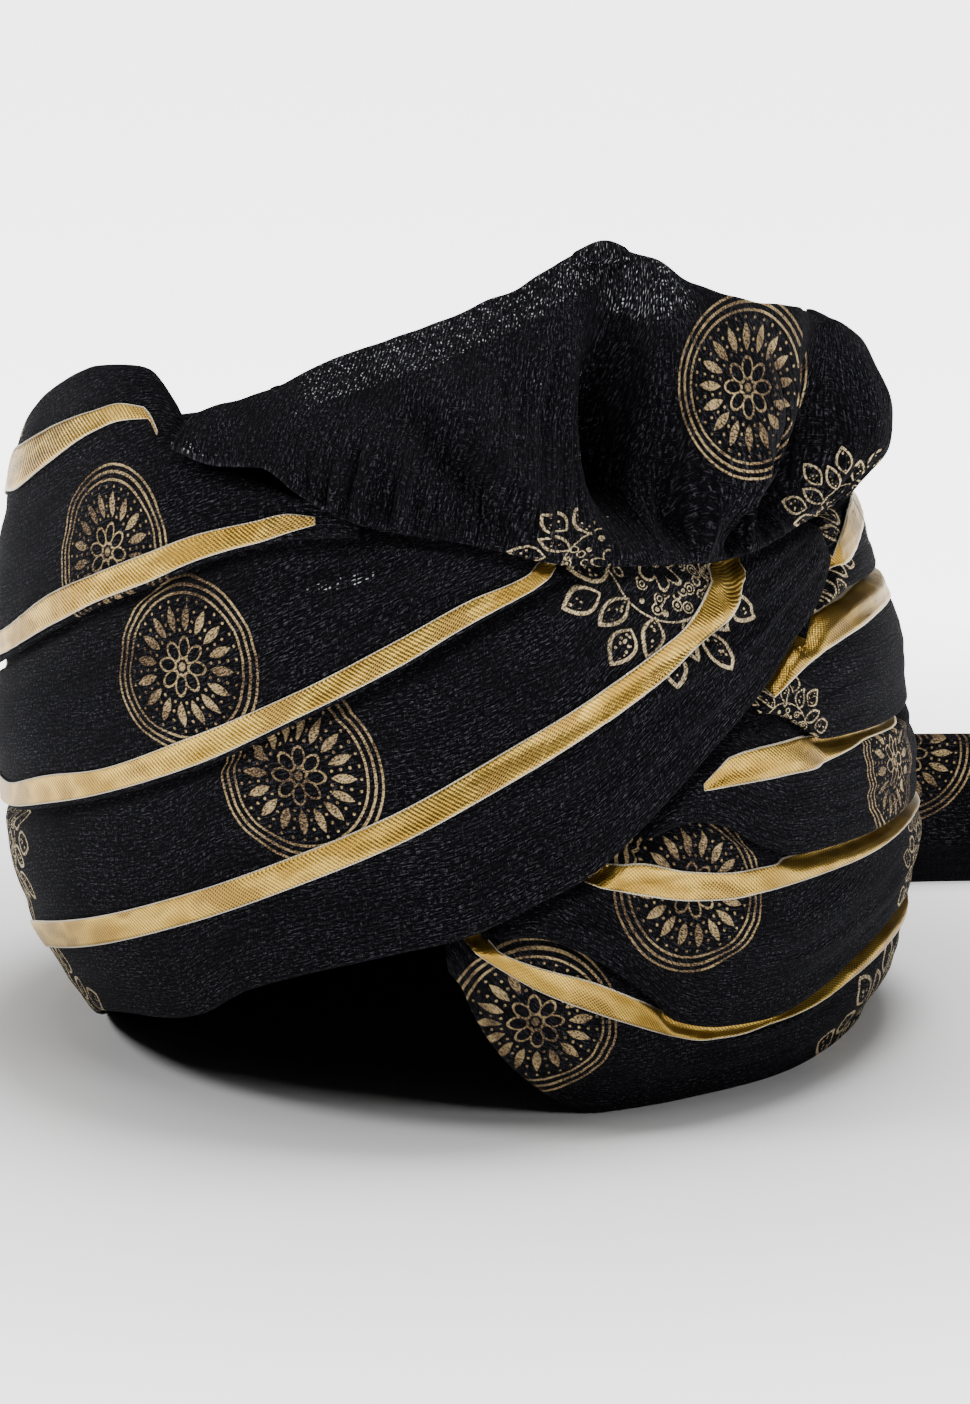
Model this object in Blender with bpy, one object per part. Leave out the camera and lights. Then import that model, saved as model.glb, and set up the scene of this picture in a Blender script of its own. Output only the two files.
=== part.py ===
"""A turban of black crepe with gold ribbons, lying on a surface as it came off the head.

Lengths are in metres. The forehead faces -Y, +X is the wearer's left, and z = 0 is the surface that it
lies on. The origin is the middle of the head opening. Angles run round the head in degrees from the
forehead, towards +X, and go past 180 where a wrap passes the back of the head.
"""

import math
from bisect import bisect_right

import bmesh
import bpy
from mathutils import Vector

# The wound wall: half widths at heights, and how far it leans towards the wearer's right
HALF_WIDTH = (
    (0.000, 0.109),
    (0.020, 0.120),
    (0.040, 0.127),
    (0.060, 0.130),
    (0.090, 0.130),
    (0.110, 0.128),
    (0.130, 0.124),
    (0.150, 0.119),
    (0.170, 0.113),
    (0.200, 0.102),
)
WIDTH_FACTOR = 0.99
DEPTH_FACTOR = 1.06
SIDEWAYS = Vector((math.cos(math.radians(20)), math.sin(math.radians(20)), 0))
BACKWARDS = Vector((-SIDEWAYS.y, SIDEWAYS.x, 0))
LEAN_AT_FLOOR = 0.0045
LEAN_PER_HEIGHT = -0.095

# How the wraps lie over each other
WALL_BASE = -0.0125
LAYER = 0.0040
EDGE_THICKNESS = 0.0030
EDGE_ROUNDING = 0.0015
EDGE_RISE = 0.0012
LAP = 0.007
CREASE = 0.0038
CLEAR = 0.0008
TOGETHER = 0.0016
ROLL_RADIUS = 0.006
ROLL_SHARE = 0.5
ROLL_SHOULDER = 0.25
INNER_SLOPE = 0.003
FULL_BULGE_ROOM = 0.020
FADE = 5.0
THIRDS = (0.33, 0.67)
THIN_END = 3.0
SMALLEST_STEP = 0.0003

# Head opening and the core round it
HEAD_HALF_WIDTH = 0.081
HEAD_HALF_DEPTH = 0.099
HEAD_NARROWING = 0.003
CORE_GAP = 0.0013
CORE_TOP = 0.148
CORE_TOP_DIP = 0.005
CORE_DIP_FROM = 15.0
CORE_DIP_TO = 85.0
CORE_ROWS = 5
CAVITY_ROWS = 3
CORE_LOW = (
    (-180, 0.004), (-60, 0.004), (-48, 0.010), (-41, 0.018), (-29, 0.024), (-20, 0.027), (-14, 0.031),
    (-6, 0.041), (1, 0.047), (13, 0.055), (17, 0.055), (21, 0.036), (25, 0.021), (31, 0.009), (36, 0.004),
    (180, 0.004),
)

# Stations round the head: close together at the front right, where the edges rise steeply
FRONT_STEPS = 16
FRONT_END = 96.0
BACK_STEPS = 30
TURN = 360.0
SLACK = 0.01
STATION_APART = 1.0

# Lower edges of the wraps: angle, height
UPPER_LOW = (
    (72, 0.1225), (78, 0.1285), (87, 0.131), (110, 0.129), (150, 0.123), (180, 0.117), (210, 0.110),
    (240, 0.103), (270, 0.099), (290, 0.101), (311, 0.111), (329, 0.127), (337, 0.135), (345, 0.142),
    (352, 0.149), (359, 0.154), (365, 0.1570), (372, 0.1578),
)
MIDDLE_LOW = (
    (60, 0.1068), (63, 0.1055), (67, 0.101), (71, 0.096), (79, 0.0945), (95, 0.092), (106, 0.091),
    (130, 0.090), (150, 0.088), (180, 0.083), (210, 0.076), (240, 0.068), (270, 0.063), (290, 0.064),
    (311, 0.069), (328, 0.078), (337, 0.084), (352, 0.097), (364, 0.111), (376, 0.125), (384, 0.135),
    (391, 0.1420), (396, 0.1462),
)
FRONT_LOW = (
    (-160, 0.0), (-66, 0.0), (-58, 0.003), (-41, 0.014), (-29, 0.020), (-20, 0.023), (-14, 0.027),
    (-6, 0.037), (1, 0.043), (13, 0.051), (20, 0.055), (29, 0.064), (35, 0.070), (41, 0.080),
    (47, 0.091), (53, 0.101), (61, 0.112), (69, 0.123), (77, 0.1305), (84, 0.139),
)
HIGH_LOW = (
    (42, 0.0780), (48, 0.0812), (52, 0.0795), (58, 0.072), (64, 0.067), (75, 0.066), (94, 0.065),
    (130, 0.062), (160, 0.058), (180, 0.055), (211, 0.050),
)
MID_LOW = (
    (24, 0.0549), (28, 0.0545), (30, 0.0533), (35, 0.047), (42, 0.034), (45, 0.027), (53, 0.022),
    (61, 0.021), (71, 0.025), (80, 0.031), (94, 0.036), (130, 0.036), (160, 0.032), (180, 0.028),
    (211, 0.023),
)
LOW_LOW = ((18, 0.046), (19, 0.043), (21, 0.029), (25, 0.015), (31, 0.004), (36, 0.0), (211, 0.0))

# Where the crown cloth comes down over the wraps: angle, height of its edge
GATHER = (
    (-12, 0.177), (-5, 0.175), (1, 0.177), (6, 0.168), (11, 0.162), (17, 0.159), (23, 0.157),
    (29, 0.154), (36, 0.150), (46, 0.148), (59, 0.146), (65, 0.147), (76, 0.150), (98, 0.154),
)
GATHER_RISE = 0.004
GATHER_TIGHT_FROM = 5.0
GATHER_TIGHT_AT = 17.0
SIDE_WRAPS_END = 210.4

# Free top of the upper wrap: angle, height
UPPER_TOP = (
    (72, 0.1325), (78, 0.138), (84, 0.1455), (90, 0.1505), (98, 0.1525), (115, 0.156), (150, 0.160),
    (200, 0.161), (240, 0.160), (270, 0.163), (290, 0.170), (300, 0.176), (313, 0.187), (325, 0.194),
    (335, 0.1955), (342, 0.1885), (347, 0.1765), (351, 0.170), (358, 0.167), (366, 0.166), (372, 0.1655),
)

# The loose tail: where the front wrap leaves the wall, and its course from there
TAIL_LEAVES = -158.4
TAIL_TIGHT_AT = -167.2
TAIL_CLEAR_AT = -184.8
TUCKED_FROM = -123.0
UNTUCKED_AT = -141.0
UNTUCKED_BY = 0.005
TUCKED_SHARE = 0.7
TAIL_RUN = 0.300
TAIL_STEPS = 12
TAIL_HEIGHT = ((0.0, 0.074), (0.05, 0.062), (0.12, 0.049), (0.30, 0.047))
TAIL_THICKNESS = ((0.0, 0.0), (0.08, 0.004), (0.30, 0.005))
TAIL_UPRIGHT_FROM = 0.02
TAIL_UPRIGHT_AT = 0.11
TAIL_MIDDLE = 0.03

# Crown cloth, left to right: angle, height and offset of its front edge; then sideways, backwards and
# height of its ridge, and of its rear edge
CROWN = (
    (-12, 0.1785, 0.0045, -0.0715, -0.0915, 0.1855, -0.0715, -0.076, 0.1745),
    (-5, 0.1755, 0.0060, -0.0600, -0.088, 0.1890, -0.0700, -0.064, 0.171),
    (1, 0.1760, 0.0080, -0.0440, -0.082, 0.1950, -0.0750, -0.050, 0.165),
    (6, 0.1690, 0.0060, -0.0300, -0.080, 0.2000, -0.0900, -0.030, 0.156),
    (11, 0.1625, 0.0030, -0.0174, -0.080, 0.2048, -0.0990, -0.010, 0.1505),
    (17, 0.1590, 0.0010, -0.0040, -0.080, 0.2098, -0.1020, 0.008, 0.1505),
    (23, 0.1570, 0.0000, 0.0090, -0.080, 0.2150, -0.0990, 0.027, 0.1505),
    (29, 0.1540, 0.0004, 0.0200, -0.079, 0.2205, -0.0920, 0.046, 0.1505),
    (36, 0.1500, 0.0004, 0.0300, -0.077, 0.2255, -0.0800, 0.066, 0.1505),
    (43, 0.1485, 0.0004, 0.0400, -0.075, 0.2270, -0.0630, 0.084, 0.1505),
    (51, 0.1475, 0.0004, 0.0510, -0.074, 0.2235, -0.0430, 0.097, 0.1505),
    (59, 0.1465, 0.0004, 0.0620, -0.072, 0.2165, -0.0200, 0.103, 0.1505),
    (65, 0.1470, 0.0004, 0.0755, -0.068, 0.2123, 0.0050, 0.104, 0.1505),
    (71, 0.1485, 0.0004, 0.0890, -0.058, 0.2094, 0.0300, 0.096, 0.1505),
    (78, 0.1505, 0.0000, 0.1010, -0.042, 0.2045, 0.0550, 0.080, 0.1505),
    (85, 0.1520, 0.0010, 0.1100, -0.027, 0.1920, 0.0660, 0.060, 0.1505),
    (91, 0.1535, 0.0025, 0.1120, -0.017, 0.1770, 0.0860, 0.026, 0.1535),
)
CROWN_STATIONS = 44
CROWN_FRONT_ROWS = (0.0, 0.05, 0.13, 0.24, 0.38, 0.54, 0.70, 0.84, 0.95, 1.0)
CROWN_REAR_ROWS = (0.05, 0.16, 0.34, 0.56, 0.78, 1.0)
CROWN_THICKNESS = 0.002
CROWN_END_THICKNESS = 0.0011
NORMAL_PASSES = 8
CROWN_PUFF = 0.009
CROWN_FULL_PUFF = 0.045
CROWN_SAG = 1.5
CROWN_END_SAG = 0.70
CROWN_END_ROWS = 3.0
CROWN_NARROW_ROWS = 3.0
CROWN_FLAT_ROWS = 3.0
CHORD_FROM = 0.25
CHORD_SPAN = 0.5

# Folds of the crown's front: name, sideways place at its foot and at the ridge, half width at each,
# depth, share of the height where it is deepest. A minus depth stands out. Most of it is lost at the ridge.
CROWN_FOLDS = (
    ("centre_valley", 0.043, 0.040, 0.011, 0.022, 0.032, 0.42),
    ("left_valley", 0.012, -0.030, 0.010, 0.015, 0.007, 0.35),
    ("left_ridge", 0.022, 0.002, 0.010, 0.015, -0.005, 0.38),
    ("middle_lobe", 0.066, 0.074, 0.010, 0.014, -0.009, 0.52),
    ("right_valley", 0.079, 0.098, 0.006, 0.008, 0.011, 0.35),
    ("right_lobe", 0.090, 0.108, 0.009, 0.012, -0.006, 0.50),
)
FOLD_LOST_AT_RIDGE = 0.85

# Ribbons: name, the wrap it lies on, and angle, lower and upper height along it
RIBBONS = (
    ("ribbon_upper", "upper_wrap", (
        (236, 0.149, 0.157), (250, 0.146, 0.154), (270, 0.1455, 0.1535), (290, 0.149, 0.157),
        (303, 0.1545, 0.166), (310, 0.157, 0.170), (321, 0.1675, 0.178), (331, 0.178, 0.184),
        (337, 0.1825, 0.187), (343, 0.184, 0.188), (346, 0.182, 0.184),
    )),
    ("ribbon_upper_edge", "upper_wrap", (
        (130, 0.146, 0.1545), (150, 0.135, 0.143), (180, 0.125, 0.133), (210, 0.116, 0.124),
        (240, 0.107, 0.115), (270, 0.101, 0.1085), (290, 0.102, 0.109), (311, 0.112, 0.119),
        (328, 0.127, 0.136), (336, 0.135, 0.143), (345, 0.142, 0.151), (352, 0.149, 0.157),
        (359, 0.155, 0.161), (365, 0.159, 0.164),
    )),
    ("ribbon_upper_end", "upper_wrap", (
        (80, 0.136, 0.1395), (84, 0.137, 0.1415), (90, 0.138, 0.1455), (96, 0.1405, 0.149),
        (104, 0.1435, 0.1525),
    )),
    ("ribbon_middle", "middle_wrap", (
        (66, 0.1135, 0.1195), (71, 0.117, 0.124), (77, 0.1195, 0.1275), (83, 0.121, 0.129),
        (92, 0.122, 0.130), (110, 0.1205, 0.128), (130, 0.116, 0.124), (150, 0.110, 0.118),
        (180, 0.100, 0.108), (210, 0.088, 0.096), (240, 0.076, 0.084), (270, 0.067, 0.075),
        (290, 0.066, 0.074), (311, 0.070, 0.077), (328, 0.079, 0.087), (337, 0.085, 0.092),
        (352, 0.098, 0.106), (365, 0.112, 0.120), (376, 0.126, 0.133), (385, 0.136, 0.143),
        (393, 0.1455, 0.149),
    )),
    ("ribbon_front", "front_wrap", (
        (-98, 0.0015, 0.006), (-90, 0.004, 0.012), (-70, 0.016, 0.024), (-54, 0.026, 0.034),
        (-27, 0.042, 0.050), (-10, 0.056, 0.064), (3, 0.069, 0.077), (14, 0.081, 0.089),
        (26, 0.096, 0.104), (38, 0.110, 0.118), (50, 0.124, 0.131), (57, 0.132, 0.141),
        (64, 0.1405, 0.1465),
    )),
    ("ribbon_high", "side_wrap_high", (
        (51, 0.0900, 0.0945), (54, 0.090, 0.0975), (59, 0.090, 0.099), (65, 0.090, 0.099),
        (70, 0.0905, 0.097), (80, 0.0915, 0.095), (96, 0.0895, 0.0915),
    )),
    ("ribbon_mid", "side_wrap_mid", (
        (36, 0.0685, 0.0715), (40, 0.0645, 0.073), (47, 0.061, 0.069), (53, 0.060, 0.067),
        (60, 0.060, 0.0665), (70, 0.0605, 0.0665), (80, 0.061, 0.0655), (96, 0.0615, 0.0645),
        (123, 0.0595, 0.0625),
    )),
    ("ribbon_low", "side_wrap_low", (
        (21, 0.0525, 0.0565), (24, 0.0465, 0.0515), (28, 0.040, 0.047), (34, 0.033, 0.042),
        (40, 0.027, 0.035), (45, 0.0225, 0.0285), (50, 0.0195, 0.0245), (57, 0.0185, 0.022),
        (63, 0.019, 0.0215), (71, 0.0215, 0.0245), (80, 0.0255, 0.030), (96, 0.030, 0.0355),
        (123, 0.031, 0.0355),
    )),
)
RIBBON_GAP = 0.0007
RIBBON_LEAST = 0.0010
RIBBON_THICKNESS = 0.0008

BLACK_CREPE = (0.010, 0.010, 0.014)
GOLD_RIBBON = (0.62, 0.44, 0.17)


def curve(table, x, column=1):
    """Height of a table's smooth line at x: a cubic through the rows, which never overshoots them."""
    places = [row[0] for row in table]
    values = [row[column] for row in table]
    if x <= places[0]:
        return values[0]
    if x >= places[-1]:
        return values[-1]
    k = bisect_right(places, x) - 1

    def slope(i):
        return (values[i + 1] - values[i]) / (places[i + 1] - places[i])

    def tangent(i):
        if i == 0 or i == len(values) - 1:
            return slope(min(i, len(values) - 2))
        before, after = slope(i - 1), slope(i)
        return 0.0 if before * after <= 0 else 2 * before * after / (before + after)

    width = places[k + 1] - places[k]
    t = (x - places[k]) / width
    start, end = tangent(k) * width, tangent(k + 1) * width
    rise = values[k + 1] - values[k]
    return values[k] + start * t + (3 * rise - 2 * start - end) * t**2 + (start + end - 2 * rise) * t**3


def smooth(x):
    """0 below 0, 1 above 1, and a smooth rise between."""
    x = min(max(x, 0.0), 1.0)
    return x * x * (3 - 2 * x)


def stations(start, end):
    """The angles where every wrap has a section, from start to end, both included."""
    front = [FRONT_END * i / FRONT_STEPS for i in range(FRONT_STEPS)]
    back = [FRONT_END + (TURN - FRONT_END) * i / BACK_STEPS for i in range(BACK_STEPS)]
    turns = sorted(a + turn for a in front + back for turn in (-TURN, 0, TURN))
    return [a for a in turns if start - SLACK <= a <= end + SLACK]


def ellipse_point(angle, half_width, half_depth, height, shift):
    """A point on an ellipse round the head, whose middle is shifted sideways."""
    t = math.radians(angle)
    radius = 1 / math.hypot(math.sin(t) / half_width, math.cos(t) / half_depth)
    return SIDEWAYS * shift + Vector((radius * math.sin(t), -radius * math.cos(t), height))


def wall_point(angle, height, offset):
    """A point at that distance outside the wound wall's mean surface."""
    half = curve(HALF_WIDTH, height)
    shift = LEAN_AT_FLOOR + LEAN_PER_HEIGHT * height
    return ellipse_point(angle, WIDTH_FACTOR * half + offset, DEPTH_FACTOR * half + offset, height, shift)


def spread(heights, low, high):
    """The heights kept in order between low and high, never closer than the smallest step."""
    last = len(heights) - 1
    step = min(SMALLEST_STEP, (high - low) / (last + 1))
    out = []
    for i, z in enumerate(heights):
        floor = low if i == 0 else out[-1] + step
        out.append(min(max(z, floor), high - (last - i) * step))
    return out


class Wrap:
    """One turn of cloth, between a lower edge that laps over and an upper edge that is tucked in."""

    def __init__(self, start, end, low, bulge):
        self.start = start
        self.end = end
        self.low_table = low
        self.bulge = bulge
        self.covers = []

    def low(self, angle):
        return curve(self.low_table, angle)

    def present(self, angle):
        """1 where this wrap lies, 0 past its ends."""
        return smooth((angle - self.start) / FADE + 1) * smooth((self.end - angle) / FADE + 1)

    def cover(self, edge, weight, lap=LAP):
        """Something lies over this wrap above a line; with a lap, this wrap ends that far above it."""
        self.covers.append((edge, weight, lap))

    def cover_with(self, other, turn=0.0, lap=LAP):
        self.cover(lambda a: other.low(a + turn), lambda a: other.present(a + turn), lap)

    def lines(self, angle):
        """(height, lap) of each edge that this wrap goes under."""
        return [(edge(angle), lap) for edge, weight, lap in self.covers if lap and weight(angle) > 0.5]

    def top(self, angle):
        """A lap above the lowest edge it goes under, but clear of the next edge above that one."""
        edges = sorted(self.lines(angle))
        top = min(height + lap for height, lap in edges)
        for height, _ in edges[1:]:
            if height > edges[0][0] + TOGETHER:
                top = min(top, height - CLEAR)
        return top

    def line(self, angle):
        """Height where the wrap goes out of sight."""
        return min([height for height, _ in self.lines(angle)] + [self.top(angle)])

    def crease(self, angle):
        """Height where the outer face starts to sink under what covers it."""
        return self.line(angle) - CREASE

    def sunk(self, angle, z):
        """How far the outer face lies below the visible surface, a layer for each cover."""
        line = self.line(angle)
        layers = 0.0
        for edge, weight, lap in self.covers:
            start = edge(angle)
            if lap and start < line + TOGETHER:
                start = line
            layers += weight(angle) * smooth((z - start + CREASE) / (CREASE - CLEAR))
        return LAYER * layers

    def outer(self, angle, z):
        low = self.low(angle)
        room = self.line(angle) - low - 2 * LAP
        sunk = self.sunk(angle, z)
        if room <= 0:
            return -sunk
        t = min(max((z - low - LAP) / room, 0.0), 1.0)
        bulge = self.bulge * 4 * t * (1 - t) * min(room / FULL_BULGE_ROOM, 1.0)
        return bulge * max(1 - sunk / LAYER, 0.0) - sunk

    def thin(self, angle):
        """Only a thin layer at the ends."""
        return angle < self.start + THIN_END or angle > self.end - THIN_END

    def inner(self, angle, z):
        low = self.low(angle)
        if z < low + LAP + INNER_SLOPE - SMALLEST_STEP or self.thin(angle):
            return self.outer(angle, min(z, self.top(angle))) - EDGE_THICKNESS
        return WALL_BASE

    def outer_line(self, angle):
        """(height, offset) pairs up the outer face."""
        low, top, last = self.low(angle), self.top(angle), self.crease(angle)
        first = min(low + LAP, last)
        middle = [first + (last - first) * share for share in THIRDS]
        sunk = self.line(angle) - CLEAR
        heights = spread([low, low + EDGE_RISE, first, *middle, last, sunk, top], low, top)
        pairs = [(z, self.outer(angle, z)) for z in heights]
        pairs[0] = (low, pairs[0][1] - EDGE_ROUNDING)
        return pairs

    def inner_line(self, angle):
        low, top = self.low(angle), self.top(angle)
        lapped, base = min(low + LAP + CLEAR, self.line(angle) - CLEAR), low + LAP + INNER_SLOPE
        middle = [base + (top - base) * share for share in THIRDS]
        heights = spread([low, lapped, base, *middle, top], low, top)
        return [(z, self.inner(angle, z)) for z in heights]

    def place(self, angle, z, offset):
        return wall_point(angle, z, offset)

    def section(self, angle):
        lines = (self.outer_line(angle), self.inner_line(angle))
        return [[self.place(angle, z, offset) for z, offset in line] for line in lines]

    def angles(self):
        return stations(self.start, self.end)


class RolledWrap(Wrap):
    """The topmost wrap, whose free top is rolled over."""

    def top(self, angle):
        return curve(UPPER_TOP, angle)

    def radius(self, angle):
        """Radius of the rolled top, small where the wrap is only a thin layer."""
        thick = self.top(angle) - self.low(angle) - LAP - INNER_SLOPE
        return min(max(ROLL_SHARE * thick, EDGE_ROUNDING), ROLL_RADIUS)

    def crease(self, angle):
        return min(super().crease(angle), self.top(angle) - self.radius(angle))

    def roll(self, angle, z):
        radius = self.radius(angle)
        past = min(max((z - self.top(angle)) / radius + 1, 0.0), 1.0)
        return radius * (1 - math.sqrt(1 - past * past))

    def outer(self, angle, z):
        return super().outer(angle, z) - self.roll(angle, z)

    def inner(self, angle, z):
        if z < self.low(angle) + LAP + INNER_SLOPE - SMALLEST_STEP or self.thin(angle):
            return super().outer(angle, z) - EDGE_THICKNESS
        return WALL_BASE + self.roll(angle, z)

    def outer_line(self, angle):
        low, top, radius = self.low(angle), self.top(angle), self.radius(angle)
        last = top - radius
        first = min(low + LAP, last, self.line(angle) - CLEAR)
        middle = [first + (last - first) * share for share in THIRDS]
        shoulder = top - ROLL_SHOULDER * radius
        heights = spread([low, low + EDGE_RISE, first, *middle, last, shoulder, top], low, top)
        pairs = [(z, self.outer(angle, z)) for z in heights]
        pairs[0] = (low, pairs[0][1] - EDGE_ROUNDING)
        return pairs

    def inner_line(self, angle):
        low, top, radius = self.low(angle), self.top(angle) - CLEAR, self.radius(angle)
        lapped, base = min(low + LAP + CLEAR, self.line(angle) - CLEAR), low + LAP + INNER_SLOPE
        last = top - radius
        shoulder = top - ROLL_SHOULDER * radius
        heights = spread([low, lapped, base, (base + last) / 2, last, shoulder], low, top)
        return [(z, self.inner(angle, z)) for z in heights]


class TailedWrap(Wrap):
    """The front wrap, which leaves the wall behind the head and runs on as the loose tail."""

    def present(self, angle):
        """Behind the head the tail draws away from what it covers."""
        drawn = smooth((angle - TAIL_CLEAR_AT) / (TAIL_TIGHT_AT - TAIL_CLEAR_AT))
        return drawn * smooth((self.end - angle) / FADE + 1)

    def untucked(self, angle):
        """1 where its top has come out from under the middle wrap, before the tail."""
        return smooth((TUCKED_FROM - angle) / (TUCKED_FROM - UNTUCKED_AT))

    def lines(self, angle):
        tucked = LAP - (LAP + UNTUCKED_BY) * self.untucked(angle)
        return [(height, min(lap, tucked)) for height, lap in super().lines(angle)]

    def sunk(self, angle, z):
        freed = smooth((self.untucked(angle) - TUCKED_SHARE) / (1 - TUCKED_SHARE))
        return super().sunk(angle, z) * (1 - freed)

    def thin(self, angle):
        """Only a thin layer over the ends of the side wraps, and at its own end."""
        return angle < SIDE_WRAPS_END - TURN + THIN_END or angle > self.end - THIN_END

    def tail_section(self, run):
        """The front wrap's first section, moved along the tail and turned upright."""
        start = self.place(self.start, TAIL_MIDDLE, 0.0)
        ahead = self.place(self.start - 1, TAIL_MIDDLE, 0.0) - start
        ahead.z = 0
        ahead.normalize()
        outward = Vector((ahead.y, -ahead.x, 0))
        if outward.dot(start) < 0:
            outward.negate()
        height = curve(TAIL_HEIGHT, run) / curve(TAIL_HEIGHT, 0.0)
        extra = curve(TAIL_THICKNESS, run)
        upright = smooth((run - TAIL_UPRIGHT_FROM) / (TAIL_UPRIGHT_AT - TAIL_UPRIGHT_FROM))
        lines = []
        for pairs, side in ((self.outer_line(self.start), 0.5), (self.inner_line(self.start), -0.5)):
            points = []
            for z, offset in pairs:
                on_wall = (self.place(self.start, z, offset) - start).dot(outward)
                straight = offset + side * extra
                out = on_wall * (1 - upright) + straight * upright
                points.append(start + ahead * run + outward * out + Vector((0, 0, z * height - start.z)))
            lines.append(points)
        return lines

    def tail(self):
        return [self.tail_section(TAIL_RUN * (TAIL_STEPS - i) / TAIL_STEPS) for i in range(TAIL_STEPS)]


def gather_height(angle):
    return curve(GATHER, angle)


def gather_weight(angle):
    """The crown cloth lies tight on the wraps from the middle of the forehead to the front wrap's end."""
    return smooth((angle - GATHER_TIGHT_FROM) / (GATHER_TIGHT_AT - GATHER_TIGHT_FROM))


def make_wraps():
    """The wraps by name, each told what lies over it."""
    upper = RolledWrap(72.0, 372.0, UPPER_LOW, 0.0010)
    middle = Wrap(60.0, 396.0, MIDDLE_LOW, 0.0015)
    front = TailedWrap(TAIL_LEAVES, 84.0, FRONT_LOW, 0.0012)
    high = Wrap(42.0, SIDE_WRAPS_END, HIGH_LOW, 0.0015)
    mid = Wrap(24.0, SIDE_WRAPS_END, MID_LOW, 0.0015)
    low = Wrap(18.0, SIDE_WRAPS_END, LOW_LOW, 0.0015)
    upper.cover_with(front)
    upper.cover(lambda a: gather_height(a - TURN), lambda a: gather_weight(a - TURN), GATHER_RISE)
    middle.cover_with(front)
    middle.cover_with(upper)
    middle.cover(lambda a: gather_height(a - TURN), lambda a: gather_weight(a - TURN), GATHER_RISE)
    front.cover_with(middle, TURN)
    front.cover(gather_height, gather_weight, GATHER_RISE)
    for wrap, above in ((high, middle), (mid, high), (low, mid)):
        wrap.cover_with(front)
        wrap.cover_with(above)
        wrap.cover_with(front, -TURN, lap=None)
    return {
        "upper_wrap": upper,
        "middle_wrap": middle,
        "front_wrap": front,
        "side_wrap_high": high,
        "side_wrap_mid": mid,
        "side_wrap_low": low,
    }


def core_sections():
    """Sections of the core: up its outer face, and down round the head opening."""
    sections = []
    for angle in stations(0, TURN)[:-1]:
        turned = angle - TURN if angle > TURN / 2 else angle
        low = curve(CORE_LOW, turned)
        dip = smooth((turned - CORE_DIP_FROM) / THIN_END) * smooth((CORE_DIP_TO - turned) / THIN_END)
        top = CORE_TOP - CORE_TOP_DIP * dip
        outside, inside = [], []
        for i in range(CORE_ROWS + 1):
            z = low + (top - low) * i / CORE_ROWS
            outside.append(wall_point(angle, z, WALL_BASE - CORE_GAP))
        for i in range(CAVITY_ROWS + 1):
            z = low + (top - low) * i / CAVITY_ROWS
            narrow = HEAD_NARROWING * smooth(z / CORE_TOP)
            inside.append(ellipse_point(angle, HEAD_HALF_WIDTH - narrow, HEAD_HALF_DEPTH - narrow, z, 0.0))
        sections.append((outside, inside))
    return sections


def crown_value(u, column):
    """A column of the crown's table, read at row number u."""
    return curve([(i, row[column]) for i, row in enumerate(CROWN)], u)


def crown_fold(sideways, t):
    """How far the crown's front is pushed in by its folds, at a share t of its height."""
    depth = 0.0
    for _, foot, ridge, foot_width, ridge_width, most, deepest in CROWN_FOLDS:
        place = foot + (ridge - foot) * t
        width = foot_width + (ridge_width - foot_width) * t
        rise = smooth(t / deepest)
        if t > deepest:
            rise -= FOLD_LOST_AT_RIDGE * smooth((t - deepest) / (1 - deepest))
        depth += most * rise * math.exp(-(((sideways - place) / width) ** 2))
    return depth


def crown_column(u):
    """Points of the crown cloth's outer face at row number u, from its front edge to its rear edge."""
    angle, z, offset, ridge_x, ridge_y, height, rear_x, rear_y, rear_z = (
        crown_value(u, column) for column in range(len(CROWN[0]))
    )
    foot = wall_point(angle, z, offset)
    ridge = SIDEWAYS * ridge_x + BACKWARDS * ridge_y + Vector((0, 0, height))
    rear = SIDEWAYS * rear_x + BACKWARDS * rear_y + Vector((0, 0, rear_z))
    t = math.radians(angle)
    outward = Vector((math.sin(t), -math.cos(t), 0))
    puff = CROWN_PUFF * min((height - z) / CROWN_FULL_PUFF, 1.0)
    from_end = min(u, len(CROWN) - 1 - u)
    sag = CROWN_END_SAG + (CROWN_SAG - CROWN_END_SAG) * smooth(from_end / CROWN_END_ROWS)
    points = []
    for share in CROWN_FRONT_ROWS:
        point = foot.lerp(ridge, share)
        lifted = puff * math.sin(math.pi * share)
        fold = crown_fold(point.dot(SIDEWAYS), share) * min((height - z) / CROWN_FULL_PUFF, 1.0)
        points.append(point + outward * (lifted - fold))
    for share in CROWN_REAR_ROWS:
        point = ridge.lerp(rear, share)
        point.z = rear.z + (ridge.z - rear.z) * (1 - share) ** sag
        points.append(point)
    return points


def crown_grid():
    last = len(CROWN) - 1
    return [crown_column(last * i / (CROWN_STATIONS - 1)) for i in range(CROWN_STATIONS)]


def add_grid_faces(mesh, rows):
    """Triangles between neighbouring rows of vertices."""
    for near, far in zip(rows, rows[1:]):
        for i in range(len(near) - 1):
            mesh.faces.new((near[i], near[i + 1], far[i + 1]))
            mesh.faces.new((near[i], far[i + 1], far[i]))


def finish_mesh(mesh, name, colour, metallic, roughness):
    """The mesh as an object with its own material, its faces pointing out."""
    bmesh.ops.recalc_face_normals(mesh, faces=mesh.faces)
    data = bpy.data.meshes.new(name)
    mesh.to_mesh(data)
    mesh.free()
    data.shade_smooth()
    material = bpy.data.materials.new(name)
    material.use_nodes = True
    shader = material.node_tree.nodes["Principled BSDF"]
    shader.inputs["Base Color"].default_value = (*colour, 1.0)
    shader.inputs["Metallic"].default_value = metallic
    shader.inputs["Roughness"].default_value = roughness
    data.materials.append(material)
    made = bpy.data.objects.new(name, data)
    bpy.context.scene.collection.objects.link(made)
    return made


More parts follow.
